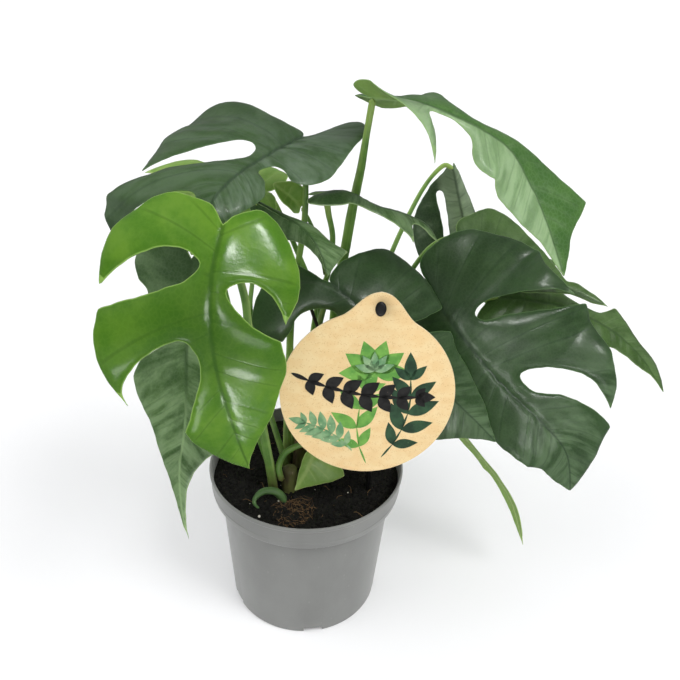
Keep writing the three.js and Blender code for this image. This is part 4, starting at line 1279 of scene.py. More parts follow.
class LeafSheet:
    """The bent sheet that a flat blade is laid on."""

    WAVE_REACH = 40.0

    def __init__(self, plan: BladePlan) -> None:
        """Takes the blade's plan.

        Args:
            plan: The plan.
        """
        self.plan = plan
        self.route = Route(plan.rib)
        self.length = self.route.length

    def points(self, flat: Array) -> Array:
        """Lays flat points on the sheet.

        Args:
            flat: Rows of across and along, in millimetres.

        Returns:
            The points in space.
        """
        across, along = flat[:, 0], flat[:, 1]
        place = np.clip(along / self.length, 0, 1)
        heading = self.route.heading(place)
        rib = self.route.at(place) + heading * (along - place * self.length)[:, None]
        directions = np.array(self.plan.face, float)
        facing = np.stack([along_list(directions[:, axis], place) for axis in range(3)], 1)
        facing = unit(facing - heading * np.sum(facing * heading, 1, keepdims=True))
        sideways = np.cross(facing, heading)
        out, lift = np.zeros(len(flat)), np.zeros(len(flat))
        for side, chosen in ((self.plan.left, across < 0), (self.plan.right, across >= 0)):
            tilt = np.radians(along_list(side.tilt, place[chosen]))
            curl = np.radians(along_list(side.curl, place[chosen]))
            turned = tilt + curl * np.abs(across[chosen])
            out[chosen] = (np.sin(turned) - np.sin(tilt)) / curl
            lift[chosen] = (np.cos(tilt) - np.cos(turned)) / curl
        height, pitch, phase = self.plan.wave
        ripple = height * (across / self.WAVE_REACH) ** 2
        lift += ripple * np.sin(2 * math.pi * along / pitch + phase)
        return rib + sideways * (np.sign(across) * out)[:, None] + facing * lift[:, None]

    def normals(self, flat: Array) -> Array:
        """Gives the directions that the sheet faces at flat points.

        Args:
            flat: Rows of across and along, in millimetres.

        Returns:
            Unit normals.
        """
        step = np.where(flat[:, :1] < 0, -0.5, 0.5)
        here = self.points(flat)
        sideways = (self.points(flat + step * [[1, 0]]) - here) * step
        return unit(np.cross(self.points(flat + [[0, 0.5]]) - here, sideways))


@dataclass
class LeafBlade:
    """A split leaf's blade, with veins raised and sunk in its surface."""

    INSET = 0.28
    SEARCH_STEPS = 26
    BASE_VEIN_TURN = 17.0
    FIRST_VEIN = 0.35
    EDGE_WAVES = ((23.0, 0.5), (11.0, 0.32), (5.7, 0.18))
    FACE_WAVES = ((58.0, 0.5), (39.0, 0.32), (24.0, 0.18))

    name: str
    plan: BladePlan
    tone: str
    slot: Slot
    edge_step: float = 1.7
    face_step: float = 2.1
    thickness: float = 0.55
    keel: float = 1.1
    groove: float = 0.7
    quilt: float = 0.17
    billow: float = 0.75
    vein_spacing: float = 9.0
    vein_slopes: tuple[float, ...] = (-1.0, -0.1, 0.45, 0.8, 1.05, 1.3)
    vein_bend: float = 0.0035
    tremble: float = 0.3
    roll: float = 1.1
    seed: int = 0
    sheet: LeafSheet = field(init=False)

    def __post_init__(self) -> None:
        """Makes the sheet that the blade lies on."""
        self.sheet = LeafSheet(self.plan)

    def side_edge(self, edge: Rows) -> Array:
        """Smooths one side's edge between its corners and splits it into short steps.

        Args:
            edge: The edge's knots.

        Returns:
            The points from the stalk towards the tip, without the tip.
        """
        parts: list[Array] = []
        run: list[Flat] = []
        for across, along, *corner in ((0.0, 0.0, 1), *edge, (0.0, self.sheet.length, 1)):
            run.append((across, along))
            if corner and len(run) > 1:
                row = np.array(run, float)
                padded = np.vstack([row[0], row, row[-1]])
                dense = spline_through(padded, np.linspace(0, 1, 40 * len(run)))
                lengths = travelled(dense)
                count = max(2, round(lengths[-1] / self.edge_step))
                wanted = np.linspace(0, lengths[-1], count + 1)[:-1]
                parts.append(
                    np.stack([np.interp(wanted, lengths, dense[:, axis]) for axis in (0, 1)], 1)
                )
                run = [run[-1]]
        return np.vstack(parts)

    def outline(self) -> Array:
        """Draws the whole edge, a little uneven as a grown one is.

        Returns:
            The corners, anticlockwise from the stalk.
        """
        right = self.side_edge(self.plan.right.edge)
        left = self.side_edge(self.plan.left.edge)[1:][::-1]
        loop = np.vstack([right, [[0.0, self.sheet.length]], left])
        eased = 0.6 * loop + 0.2 * (np.roll(loop, 1, 0) + np.roll(loop, -1, 0))
        eased[0] = loop[0]
        draw = np.random.default_rng(100 + self.seed)
        place = np.arange(len(eased)) * self.edge_step
        shake = sum(
            np.sin(2 * math.pi * place / pitch + draw.uniform(0, 6.3)) * share
            for pitch, share in self.EDGE_WAVES
        )
        return eased + outward(eased) * (self.tremble * shake)[:, None]

    def rim_distance(self, flat: Array, loop: Array) -> Array:
        """Measures how far flat points lie from the edge.

        Args:
            flat: The points.
            loop: The outline.

        Returns:
            Distances in millimetres.
        """
        best = np.full(len(flat), np.inf)
        for corner, side in zip(loop, np.roll(loop, -1, 0) - loop):
            share = np.clip((flat - corner) @ side / max(side @ side, 1e-9), 0, 1)
            away = flat - corner - share[:, None] * side
            best = np.minimum(best, np.hypot(away[:, 0], away[:, 1]))
        return best

    def inner_points(self, loop: Array) -> Array:
        """Spreads points within the outline: rows beside the midrib and a staggered grid.

        Args:
            loop: The outline.

        Returns:
            The points.
        """
        step = self.face_step
        low, high = loop.min(0), loop.max(0)
        rib_rows = np.arange(step, self.sheet.length, step)
        rows = [
            np.stack([np.full(len(rib_rows), x), rib_rows], 1) for x in (-2.0, -1.0, 1.0, 2.0, 0.0)
        ]
        for number, y in enumerate(np.arange(low[1], high[1], step * 0.87)):
            columns = np.arange(3.3 + (number % 2) * step / 2, max(-low[0], high[0]), step)
            both = np.concatenate([-columns, columns])
            rows.append(np.stack([both, np.full(len(both), y)], 1))
        spots = np.vstack(rows)
        inside = np.zeros(len(spots), bool)
        for (ax, ay), (bx, by) in zip(loop, np.roll(loop, -1, 0)):
            if ay != by:
                crosses = (ay > spots[:, 1]) != (by > spots[:, 1])
                at = ax + (bx - ax) * (spots[:, 1] - ay) / (by - ay)
                inside ^= crosses & (spots[:, 0] < at)
        spots = spots[inside]
        near = np.where(np.abs(spots[:, 0]) < 2.5, 0.35, 0.55) * step
        return spots[self.rim_distance(spots, loop) > near]

    def stations(self, flat: Array) -> Array:
        """Numbers each point by the side veins, which lie at the whole numbers.

        Args:
            flat: The points.

        Returns:
            The numbers.
        """
        length = self.sheet.length
        across, along = np.abs(flat[:, 0]), flat[:, 1]
        bend = self.vein_bend * across**2
        low, high = np.zeros(len(flat)), np.full(len(flat), length * 1.4)
        for _ in range(self.SEARCH_STEPS):
            middle = (low + high) / 2
            slope = along_list(self.vein_slopes, np.clip(middle / length, 0, 1))
            reached = middle + across * slope + bend
            low = np.where(reached < along, middle, low)
            high = np.where(reached < along, high, middle)
        slant = np.arctan2(-(along - bend), np.maximum(across, 0.01))
        behind = (slant - math.atan(-self.vein_slopes[0])) / math.radians(self.BASE_VEIN_TURN)
        station = np.where(low < 0.05, -np.maximum(behind, 0), low / self.vein_spacing)
        station += np.where(flat[:, 0] < 0, 0.5, 0.0) + self.FIRST_VEIN
        return station + 0.21 * np.sin(2.3 * station + self.seed + np.where(flat[:, 0] < 0, 2, 0))

    def billows(self, flat: Array) -> Array:
        """Gives the slow rise and fall of the whole blade at flat points.

        Args:
            flat: The points.

        Returns:
            The heights.
        """
        draw = np.random.default_rng(300 + self.seed)
        height = np.zeros(len(flat))
        for pitch, share in self.FACE_WAVES:
            turn, phase = draw.uniform(0, math.pi), draw.uniform(0, 6.3)
            run = flat[:, 0] * math.cos(turn) + flat[:, 1] * math.sin(turn)
            height += share * np.sin(2 * math.pi * run / pitch + phase)
        return self.billow * height

    def skins(
        self, flat: Array, rim: Array, station: Array
    ) -> tuple[Array, Array]:
        """Lays the upper and the lower skin over the sheet.

        Args:
            flat: The flat points.
            rim: Their distances from the edge.
            station: Their vein numbers.

        Returns:
            The points of the upper skin and those of the lower one.
        """
        share = np.clip(flat[:, 1] / self.sheet.length, 0, 1)
        across = np.abs(flat[:, 0])
        from_vein = np.abs((station + 0.5) % 1 - 0.5) * self.vein_spacing
        calm = np.clip((rim - 0.5) / 6, 0, 1)
        swell = np.sin(math.pi * from_vein / self.vein_spacing) ** 2
        depth = 0.55 + 0.45 * np.sin(5.1 * np.round(station))
        sunk = 0.8 * np.exp(-((from_vein / 1.3) ** 2)) * depth
        lift = self.quilt * calm * (2 * swell - 1 - sunk) - self.roll * np.exp(-rim / 2.6)
        lift += self.billows(flat) * calm * np.clip(across / 8, 0, 1)
        inland = np.clip(rim / 2, 0, 1)
        groove = self.groove * (1 - 0.6 * share) * np.exp(-((across / 1.6) ** 2)) * inland
        keel = self.keel * (1 - 0.8 * share) * np.exp(-((across / 1.4) ** 2)) * inland
        half = self.thickness / 2 * (0.7 + 0.3 * np.clip(rim / 1.5, 0, 1))
        middle, normal = self.sheet.points(flat), self.sheet.normals(flat)
        above = middle + normal * (half + lift - groove)[:, None]
        return above, middle + normal * (lift - half - keel)[:, None]

    def build(self, palette: Palette) -> None:
        """Builds the blade and ties it to its CAD node.

        Args:
            palette: The finishes.
        """
        loop = self.outline()
        count = len(loop)
        flat = np.vstack([loop - self.INSET * outward(loop), self.inner_points(loop)])
        spots, border = [Vector(spot) for spot in flat.tolist()], [list(range(count))]
        corners, _, triangles, sources, _, _ = delaunay_2d_cdt(spots, [], border, 1, 1e-5)
        flat = np.array([tuple(corner) for corner in corners])
        size = len(flat)
        found_at = {old: new for new, found in enumerate(sources) for old in found}
        rim, station = self.rim_distance(flat, loop), self.stations(flat)
        outer = self.sheet.points(loop) - self.sheet.normals(loop) * self.roll
        points = np.vstack([*self.skins(flat, rim, station), outer])
        faces = [tuple(reversed(corner)) for corner in triangles]
        faces += [tuple(size + corner for corner in reversed(face)) for face in faces]
        for here in range(count):
            after = (here + 1) % count
            a, b = found_at[here], found_at[after]
            c, d = 2 * size + here, 2 * size + after
            faces += [(a, b, d, c), (size + a, c, d, size + b)]
        values = {
            "station": np.concatenate([station, station, self.stations(loop)]),
            "rim": np.concatenate([rim, rim, np.zeros(count)]),
            "upper": np.concatenate([np.ones(size), np.zeros(size), np.full(count, 0.5)]),
        }
        piece = mesh_piece(f"blade_{self.name}", points, faces, [palette.leaf(self.tone)], values)
        chart = np.vstack([flat, flat, loop]) / CHART_WIDTH + CHART_FOOT
        layer = piece.data.uv_layers.new(name="flat")
        corner_points = np.zeros(len(piece.data.loops), int)
        piece.data.loops.foreach_get("vertex_index", corner_points)
        layer.data.foreach_set("uv", chart[corner_points].ravel())
        finish_piece(piece, [f"leaf_{self.name}"])


# Stalks and stems


def stalk_tree() -> Tree:
    """Geometry Nodes tree that turns a curve with radii into a grown stalk.

    Returns:
        The tree.
    """
    board = ShapeBoard("grow_stalk", "Stalk", {
        "Curve": "Geometry",
        "Step": 0.0015,
        "Sides": 20,
        "Groove": 0.3,
        "Unevenness": 0.06,
        "Ridges": 0.03,
        "Grain size": 0.006,
        "Seed": 0.0,
        "Finish": "Material",
    })
    given = board.given
    steps = {"Curve": given["Curve"], "Length": given["Step"]}
    line = board.first("GeometryNodeResampleCurve", steps, mode="LENGTH")
    round_line = {"Resolution": given["Sides"], "Radius": 1.0}
    ring = board.first("GeometryNodeCurvePrimitiveCircle", round_line, mode="RADIUS")
    progress = board.add("GeometryNodeSplineParameter").outputs["Factor"]
    radius = board.first("GeometryNodeInputRadius")
    sweep = {
        "Curve": board.keep(board.keep(line, "along", progress), "girth", radius),
        "Profile Curve": board.keep(ring, "around", progress),
        "Scale": radius,
        "Fill Caps": True,
    }
    skin = board.first("GeometryNodeCurveToMesh", sweep)
    around = board.kept("around")
    side = board.math("PINGPONG", around, 0.5)
    channel = board.fade(side, 0.0, 0.17)
    wings = board.fade(board.math("ABSOLUTE", board.math("SUBTRACT", side, 0.2)), 0.0, 0.09)
    dip = board.times(channel, given["Groove"], -1.0)
    lift = board.times(wings, given["Groove"], 0.45)
    lower = board.span(board.kept("along"), 0.55, 0.85, 1.0, 0.25)
    shaped = board.times(board.math("ADD", dip, lift), lower)
    place = board.vector("DIVIDE", board.first("GeometryNodeInputPosition"), given["Grain size"])
    grain = {"Vector": place, "W": given["Seed"], "Scale": 1.0, "Detail": 3.0}
    rough = board.first("ShaderNodeTexNoise", grain, noise_dimensions="4D")
    shake = board.times(board.math("SUBTRACT", rough, 0.5), given["Unevenness"])
    fine = board.times(board.math("SINE", board.times(around, 69.0)), given["Ridges"])
    total = board.math("ADD", board.math("ADD", shaped, shake), fine)
    shaken = board.raised(skin, board.times(total, board.kept("girth")))
    return board.finished(board.first("GeometryNodeSetShadeSmooth", {"Geometry": shaken}))


@dataclass
class Stalk:
    """A round growing stalk, or a stick, along a smooth route."""

    LINE_STEP = 1.5
    KNEE_DEPTH = 4.0
    CAP_STEPS = 6

    name: str
    plan: StalkPlan
    slot: Slot
    node: str
    sides: int = 20
    step: float = 1.5
    groove: float = 0.34
    unevenness: float = 0.1
    ridges: float = 0.012
    grain_size: float = 6.0
    knee: float = 0.0
    knee_length: float = 9.0
    blunt: float = 0.8
    seed: float = 0.0

    def curve(self) -> Piece:
        """Draws the route as a poly curve that carries the radius at each point.

        Returns:
            The curve object.
        """
        route = Route(self.plan.route)
        rounding = min(self.plan.radius[-1], 2.0) * self.blunt
        run = np.linspace(0, route.length, max(8, round(route.length / self.LINE_STEP)))
        starts = rounding * (1 - np.cos(np.linspace(0, math.pi / 2, self.CAP_STEPS)))
        run = np.unique(np.round(np.concatenate([run, route.length - starts, starts]), 4))
        from_top = route.length - run
        radius = along_list(self.plan.radius, run / route.length)
        radius *= 1 + self.knee * np.exp(-(((from_top - self.KNEE_DEPTH) / self.knee_length) ** 2))
        for edge in (from_top, run):
            share = np.clip(edge / rounding, 0.0, 1.0)
            radius *= np.sqrt(np.clip(1 - (1 - share) ** 2, 0.012, 1))
        points = route.at(run / route.length) * MM
        data = bpy.data.curves.new(self.name, "CURVE")
        data.dimensions = "3D"
        data.twist_mode = "MINIMUM"
        line = data.splines.new("POLY")
        line.points.add(len(points) - 1)
        line.points.foreach_set("co", np.hstack([points, np.ones((len(points), 1))]).ravel())
        line.points.foreach_set("radius", radius * MM)
        return new_object(self.name + "_route", data)

    def build(self, tree: Tree, finish: Stuff) -> None:
        """Builds the stalk and ties it to its CAD node.

        Args:
            tree: The stalk-growing tree.
            finish: The material.
        """
        settings = {
            "Step": self.step * MM,
            "Sides": self.sides,
            "Groove": self.groove,
            "Unevenness": self.unevenness,
            "Ridges": self.ridges,
            "Grain size": self.grain_size * MM,
            "Seed": self.seed,
            "Finish": finish,
        }
        finish_piece(grown(self.curve(), tree, settings, self.name), [self.node])


# Pot and soil


def rounded_profile(corners: Sequence[Spot], bends: int = 5) -> list[Flat]:
    """Rounds the corners of a profile.

    Args:
        corners: Radius, height and rounding of each corner.
        bends: Points on each rounding.

    Returns:
        The profile's points.
    """
    profile: list[Flat] = []
    for place, (x, z, size) in enumerate(corners):
        here = Vector((x, z))
        if size <= 0 or place in (0, len(corners) - 1):
            profile.append((x, z))
            continue
        before = Vector(corners[place - 1][:2]) - here
        after = Vector(corners[place + 1][:2]) - here
        reach = min(size, before.length * 0.48, after.length * 0.48)
        start = here + before.normalized() * reach
        end = here + after.normalized() * reach
        for step in range(bends + 1):
            t = step / bends
            profile.append(tuple(start * (1 - t) ** 2 + here * 2 * t * (1 - t) + end * t**2))
    return profile


def turned_faces(rings: int, sides: int, closed: bool = True) -> Faces:
    """Joins a middle point, rings of points round the axis and, if closed, an end point.

    Args:
        rings: Number of rings.
        sides: Points on each ring.
        closed: Whether the end point is there.

    Returns:
        The faces, which look outwards where the rings go up.
    """
    faces: Faces = []
    last = 1 + (rings - 1) * sides
    for side in range(sides):
        after = (side + 1) % sides
        faces.append((0, 1 + after, 1 + side))
        for ring in range(1, last, sides):
            a, b = ring + side, ring + after
            faces.append((a, b, b + sides, a + sides))
        if closed:
            faces.append((last + side, last + after, last + sides))
    return faces


def turned_mesh(profile: Sequence[Flat], sides: int) -> tuple[Array, Faces]:
    """Turns a profile about Z; it starts and ends on the axis.

    Args:
        profile: Radius and height of each point.
        sides: Sides of the turned body.

    Returns:
        The points and the faces.
    """
    turns = 2 * math.pi * np.arange(sides) / sides
    rows = [[[0.0, 0.0, profile[0][1]]]]
    for radius, height in profile[1:-1]:
        ring = [radius * np.cos(turns), radius * np.sin(turns), np.full(sides, height)]
        rows.append(np.stack(ring, 1))
    rows.append([[0.0, 0.0, profile[-1][1]]])
    return np.vstack(rows), turned_faces(len(profile) - 2, sides)


@dataclass
class NurseryPot:
    """Tapered plastic pot with a rolled lip, a foot ring and drain holes."""

    SHARP = math.radians(50)

    height: float = 100.0
    rim_radius: float = 60.0
    lip_height: float = 16.0
    lip_foot_radius: float = 58.8
    neck_radius: float = 53.4
    foot_radius: float = 47.5
    wall: float = 1.5
    ring_inner_radius: float = 41.0
    floor_underside: float = 3.6
    floor_top: float = 5.2
    pad_radius: float = 14.0
    drain_holes: int = 5
    drain_radius: float = 4.0
    drain_circle: float = 28.0
    notch_width: float = 12.0
    notch_height: float = 3.2
    notch_turn: float = 7.5
    sides: int = 160

    def profile(self) -> list[Flat]:
        """Draws the wall's section, from the middle of the underside round to the inside.

        Returns:
            The section's points.
        """
        top, lip = self.height, self.height - self.lip_height
        rim, lip_foot, neck = self.rim_radius, self.lip_foot_radius, self.neck_radius
        taper = (neck - self.foot_radius) / lip
        return rounded_profile((
            (0, 0, 0),
            (self.pad_radius, 0, 0.5),
            (self.pad_radius + 1, self.floor_underside, 0.5),
            (self.ring_inner_radius, self.floor_underside, 0.5),
            (self.ring_inner_radius + 1, 0, 0.4),
            (self.foot_radius - 0.2, 0, 1.1),
            (neck, lip - 1.5, 2.2),
            (lip_foot - 0.5, lip, 0.9),
            (lip_foot + 0.25, lip + 4.6, 0.3),
            (lip_foot + 0.1, lip + 5.0, 0.3),
            (rim - 0.5, top - 2.6, 0.3),
            (rim - 0.05, top - 2.2, 0.4),
            (rim, top - 0.4, 0.5),
            (rim - 0.9, top, 0.6),
            (rim - self.wall, top - 0.3, 0.5),
            (lip_foot - self.wall, lip + 1.4, 2.0),
            (neck - self.wall, lip - 0.8, 1.2),
            (self.foot_radius + taper * self.floor_top - self.wall, self.floor_top, 1.5),
            (0, self.floor_top, 0),
        ))

    def cutter(self, name: str, build: Callable[..., object], **settings: object) -> Piece:
        """Makes a body that is cut out of the pot.

        Args:
            name: Its name.
            build: Makes its shape, in millimetres.
            **settings: What the shape needs.

        Returns:
            The cutter.
        """
        shape = bmesh.new()
        build(shape, **settings)
        bmesh.ops.scale(shape, vec=(MM, MM, MM), verts=shape.verts)
        mesh = bpy.data.meshes.new(name)
        shape.to_mesh(mesh)
        shape.free()
        return new_object(name, mesh)

    def cutters(self) -> list[Piece]:
        """Makes the drain holes in the floor and the notches in the foot.

        Returns:
            The cutters.
        """
        made: list[Piece] = []
        plug = {"cap_ends": True, "segments": 28, "depth": 12}
        plug |= dict.fromkeys(("radius1", "radius2"), self.drain_radius)
        size = Matrix.Diagonal((self.notch_width, 20, 2 * self.notch_height, 1))
        away = Matrix.Translation((0, -self.foot_radius, 0))
        for number in range(self.drain_holes):
            turn = 2 * math.pi * number / self.drain_holes
            spot = (self.drain_circle * math.sin(turn), self.drain_circle * math.cos(turn), 4)
            hole = Matrix.Translation(spot)
            made.append(
                self.cutter(f"drain_plug_{number}", bmesh.ops.create_cone, matrix=hole, **plug)
            )
            spin = Matrix.Rotation(math.radians(self.notch_turn) + turn, 4, "Z")
            block = {"size": 1, "matrix": spin @ away @ size}
            made.append(self.cutter(f"foot_block_{number}", bmesh.ops.create_cube, **block))
        return made

    def build(self, palette: Palette) -> None:
        """Builds the pot and ties it to its CAD node.

        Args:
            palette: The finishes.
        """
        body = mesh_piece(
            "nursery_pot", *turned_mesh(self.profile(), self.sides), [palette.plain("pot")]
        )
        cutters = self.cutters()
        for cutter in cutters:
            cut = body.modifiers.new(cutter.name, "BOOLEAN")
            cut.operation = "DIFFERENCE"
            cut.solver = "EXACT"
            cut.object = cutter
        mesh = worked_out(body)
        body.modifiers.clear()
        body.data = mesh
        for cutter in cutters:
            bpy.data.objects.remove(cutter)
        mesh.shade_smooth()
        mesh.set_sharp_from_angle(angle=self.SHARP)
        finish_piece(body, ["pot"])


def scatter_tree() -> Tree:
    """Geometry Nodes tree that strews lumps over a surface.

    Returns:
        The tree.
    """
    board = ShapeBoard("strew_lumps", "Lumps", {
        "Ground": "Geometry",
        "Spacing": 0.001,
        "Density": 300000.0,
        "Least size": 0.0006,
        "Most size": 0.0018,
        "Flatness": 0.6,
        "Roughness": 0.5,
        "Seed": 1,
        "Finish": "Material",
    })
    given = board.given
    seed, least, most = given["Seed"], given["Least size"], given["Most size"]
    lump = board.first("GeometryNodeMeshIcoSphere", {"Radius": 1.0, "Subdivisions": 2})
    turn = board.draw_vector(seed, (0.0, 0.0, 0.0), (6.28, 6.28, 6.28))
    power = board.math("POWER", board.draw(board.math("ADD", seed, 3.0)), 2.2)
    size = board.math("MULTIPLY_ADD", power, board.math("SUBTRACT", most, least), least)
    low = board.combined(0.7, 0.7, given["Flatness"])
    shape = board.draw_vector(board.math("ADD", seed, 7.0), low, (1.2, 1.2, 1.0))
    whole = board.set_on(board.strewn_spots(), lump, turn, board.scaled(shape, size))
    grain = board.noise(board.first("GeometryNodeInputPosition"), 900.0, 2.0, 0.5)
    shake = board.times(board.math("SUBTRACT", grain, 0.5), given["Roughness"], most)
    return board.finished(board.raised(whole, shake))


def fibre_tree() -> Tree:
    """Geometry Nodes tree that strews thin bent fibres over a surface.

    Returns:
        The tree.
    """
    board = ShapeBoard("strew_fibres", "Fibres", {
        "Ground": "Geometry",
        "Spacing": 0.003,
        "Density": 30000.0,
        "Length": 0.008,
        "Girth": 0.00014,
        "Seed": 5,
        "Finish": "Material",
    })
    given = board.given
    seed = given["Seed"]
    bow = {
        "Resolution": 9,
        "Start": (-0.5, 0.0, 0.0),
        "Start Handle": (-0.2, 0.25, 0.16),
        "End Handle": (0.2, -0.22, 0.12),
        "End": (0.5, 0.04, -0.02),
    }
    strand = board.first("GeometryNodeCurvePrimitiveBezierSegment", bow)
    turn = board.draw_vector(seed, (-0.35, -0.35, 0.0), (0.35, 0.35, 6.28))
    size = board.times(board.draw(board.math("ADD", seed, 2.0), 0.35, 1.25), given["Length"])
    scale = board.combined(size, size, size)
    whole = board.set_on(board.strewn_spots(), strand, turn, scale)
    place = board.first("GeometryNodeInputPosition")
    drift = board.add("ShaderNodeTexNoise", {"Vector": place, "Scale": 160.0, "Detail": 1.0})
    centred = board.vector("SUBTRACT", drift.outputs["Color"], (0.5, 0.5, 0.5))
    sweep = {"Curve": board.moved(whole, board.scaled(centred, 0.004)), "Fill Caps": True}
    ring = {"Resolution": 4, "Radius": given["Girth"]}
    sweep["Profile Curve"] = board.first("GeometryNodeCurvePrimitiveCircle", ring, mode="RADIUS")
    return board.finished(board.first("GeometryNodeCurveToMesh", sweep))


@dataclass
class PottingSoil:
    """Dark mix that fills the pot, with crumbs, fibres and perlite on top."""

    edge_height: float = 91.5
    mound: float = 2.6
    mound_spread: float = 22.0
    edge_radius: float = 57.25
    wall: tuple[Flat, ...] = ((57.0, 86.2), (52.0, 84.5), (51.6, 82.0), (46.0, 5.5))
    rings: int = 46
    sides: int = 150

    def height(self, x: Array, y: Array) -> Array:
        """Gives the height of the soil's top at places in plan.

        Args:
            x: Places to the right, in millimetres.
            y: Places to the back.

        Returns:
            The heights.
        """
        mound = self.mound * np.exp(-(x**2 + y**2) / (2 * self.mound_spread**2))
        lumps = 0.9 * np.sin(x / 7 + 1) * np.cos(y / 9) + 0.6 * np.sin(x / 3.7 + y / 5.1)
        fine = 0.35 * np.sin(x * 1.3 + 2 * np.sin(y * 0.7)) * np.cos(y * 1.1 + np.sin(x * 0.9))
        return self.edge_height + mound + lumps + fine

    def top(self, reach: float) -> Array:
        """Makes the lumpy top.

        Args:
            reach: Its radius.

        Returns:
            The points, the middle one first and the outermost ring last.
        """
        radii = np.linspace(0, reach, self.rings + 1)[1:]
        turns = 2 * math.pi * np.arange(self.sides) / self.sides
        x = np.concatenate([[0.0], np.outer(radii, np.cos(turns)).ravel()])
        y = np.concatenate([[0.0], np.outer(radii, np.sin(turns)).ravel()])
        return np.stack([x, y, self.height(x, y)], 1)

    def faces(self, rings: int, closed: bool) -> Faces:
        """Gives faces that look up where the rings go outwards."""
        return [(face[0], *face[:0:-1]) for face in turned_faces(rings, self.sides, closed)]

    def body(self, palette: Palette) -> None:
        """Builds the body of soil, down to the pot's floor.

        Args:
            palette: The finishes.
        """
        foot = self.wall[-1][1]
        side, _ = turned_mesh(((0.0, foot), *self.wall, (0.0, foot)), self.sides)
        points = np.vstack([self.top(self.edge_radius), side[1:]])
        faces = self.faces(self.rings + len(self.wall), True)
        piece = mesh_piece("potting_soil", points, faces, [palette.plain("soil")])
        finish_piece(piece, ["soil"])

    def strewn(
        self,
        name: str,
        tree: Tree,
        settings: dict[str, object],
        reach: float = 54.0,
        patch: Spot | None = None,
    ) -> None:
        """Strews small stuff over the top of the soil.

        Args:
            name: The piece's name.
            tree: The strewing tree.
            settings: Its inputs.
            reach: Radius of the part that it covers.
            patch: Middle and radius of a smaller round patch, in millimetres.
        """
        points, faces = self.top(reach), self.faces(self.rings, False)
        if patch is not None:
            x, y, radius = patch
            near = np.hypot(points[:, 0] - x, points[:, 1] - y) < radius
            faces = [face for face in faces if near[list(face)].all()]
        ground = mesh_piece(name + "_ground", points, faces, [])
        finish_piece(grown(ground, tree, settings, name), ["soil"])

    def build(self, palette: Palette) -> None:
        """Builds the soil and all that lies on it.

        Args:
            palette: The finishes.
        """
        self.body(palette)
        lumps, fibres = scatter_tree(), fibre_tree()
        crumb = {
            "Spacing": 0.00125,
            "Density": 420000.0,
            "Least size": 0.00035,
            "Most size": 0.0019,
            "Seed": 11,
            "Finish": palette.plain("crumb"),
        }
        self.strewn("soil_crumbs", lumps, crumb, 56.0)
        grain = {
            "Spacing": 0.012,
            "Density": 3200.0,
            "Least size": 0.0004,
            "Most size": 0.0011,
            "Seed": 23,
            "Finish": palette.plain("perlite"),
        }
        self.strewn("perlite_grains", lumps, grain)
        coir = {"Spacing": 0.0075, "Density": 9000.0, "Seed": 5, "Finish": palette.plain("fibre")}
        self.strewn("coir_fibres", fibres, coir)
        tuft = {"Spacing": 0.0009, "Density": 420000.0, "Length": 0.0065, "Girth": 0.00011}
        tuft |= {"Seed": 9, "Finish": palette.plain("fibre")}
        self.strewn("coir_tuft", fibres, tuft, 56.0, (-7.5, -36.5, 13.0))


# Tag


def bezier_run(start: Flat, first: Flat, second: Flat, end: Flat, steps: int = 14) -> list[Flat]:
    """Samples a cubic curve without its last point.

    Args:
        start: Its start.
        first: Handle of the start.
        second: Handle of the end.
        end: Its end.
        steps: Number of points.

    Returns:
        The points.
    """
    t = np.arange(steps)[:, None] / steps
    a, b, c, d = (np.array(p, float) for p in (start, first, second, end))
    spots = (1 - t) ** 3 * a + 3 * (1 - t) ** 2 * t * b + 3 * (1 - t) * t**2 * c + t**3 * d
    return [tuple(spot) for spot in spots.tolist()]


def ahead_of(spot: Flat, turn: float, length: float) -> Flat:
    """Goes a length from a spot in a direction in degrees."""
    angle = math.radians(turn)
    return spot[0] + length * math.cos(angle), spot[1] + length * math.sin(angle)


def leaflet(foot: Flat, turn: float, length: float, width: float) -> list[Flat]:
    """Draws one plain pointed leaflet.

    Args:
        foot: Where it starts.
        turn: Its direction, in degrees.
        length: Its length.
        width: Its width.

    Returns:
        The outline, anticlockwise.
    """
    share = np.linspace(0, 1, 13)
    half = width / 2 * np.sin(math.pi * share**0.8)
    side = np.concatenate([-half[:-1], half[:0:-1]])
    run = np.concatenate([share[:-1], share[:0:-1]]) * length
    cos, sin = math.cos(math.radians(turn)), math.sin(math.radians(turn))
    x, y = foot[0] + run * cos - side * sin, foot[1] + run * sin + side * cos
    return list(zip(x.tolist(), y.tolist()))


def sprig(
    start: Flat, bend: Spot, leaflets: int, size: float, plump: float = 0.42, stem: float = 1.1
) -> list[list[Flat]]:
    """Draws a curved sprig with pairs of leaflets.

    Args:
        start: Its foot.
        bend: Its first direction and its turn in degrees, and its length.
        leaflets: Number of pairs.
        size: Length of a leaflet in the middle.
        plump: Width of a leaflet as a share of its length.
        stem: Width of the sprig's stem.

    Returns:
        The outlines.
    """
    heading, turn, length = bend
    shapes: list[list[Flat]] = []
    spot, step = start, length / leaflets
    for number in range(leaflets):
        share = number / max(leaflets - 1, 1)
        angle = heading + turn * share
        shapes.append(leaflet(spot, angle, step * 1.3, stem))
        spot = ahead_of(spot, angle, step * 1.15)
        reach = size * (0.65 + 0.5 * math.sin(math.pi * (0.15 + 0.8 * share)))
        shapes += [leaflet(spot, angle + side, reach, reach * plump) for side in (-48, 48)]
    shapes.append(leaflet(spot, heading + turn, size, size * plump))
    return shapes


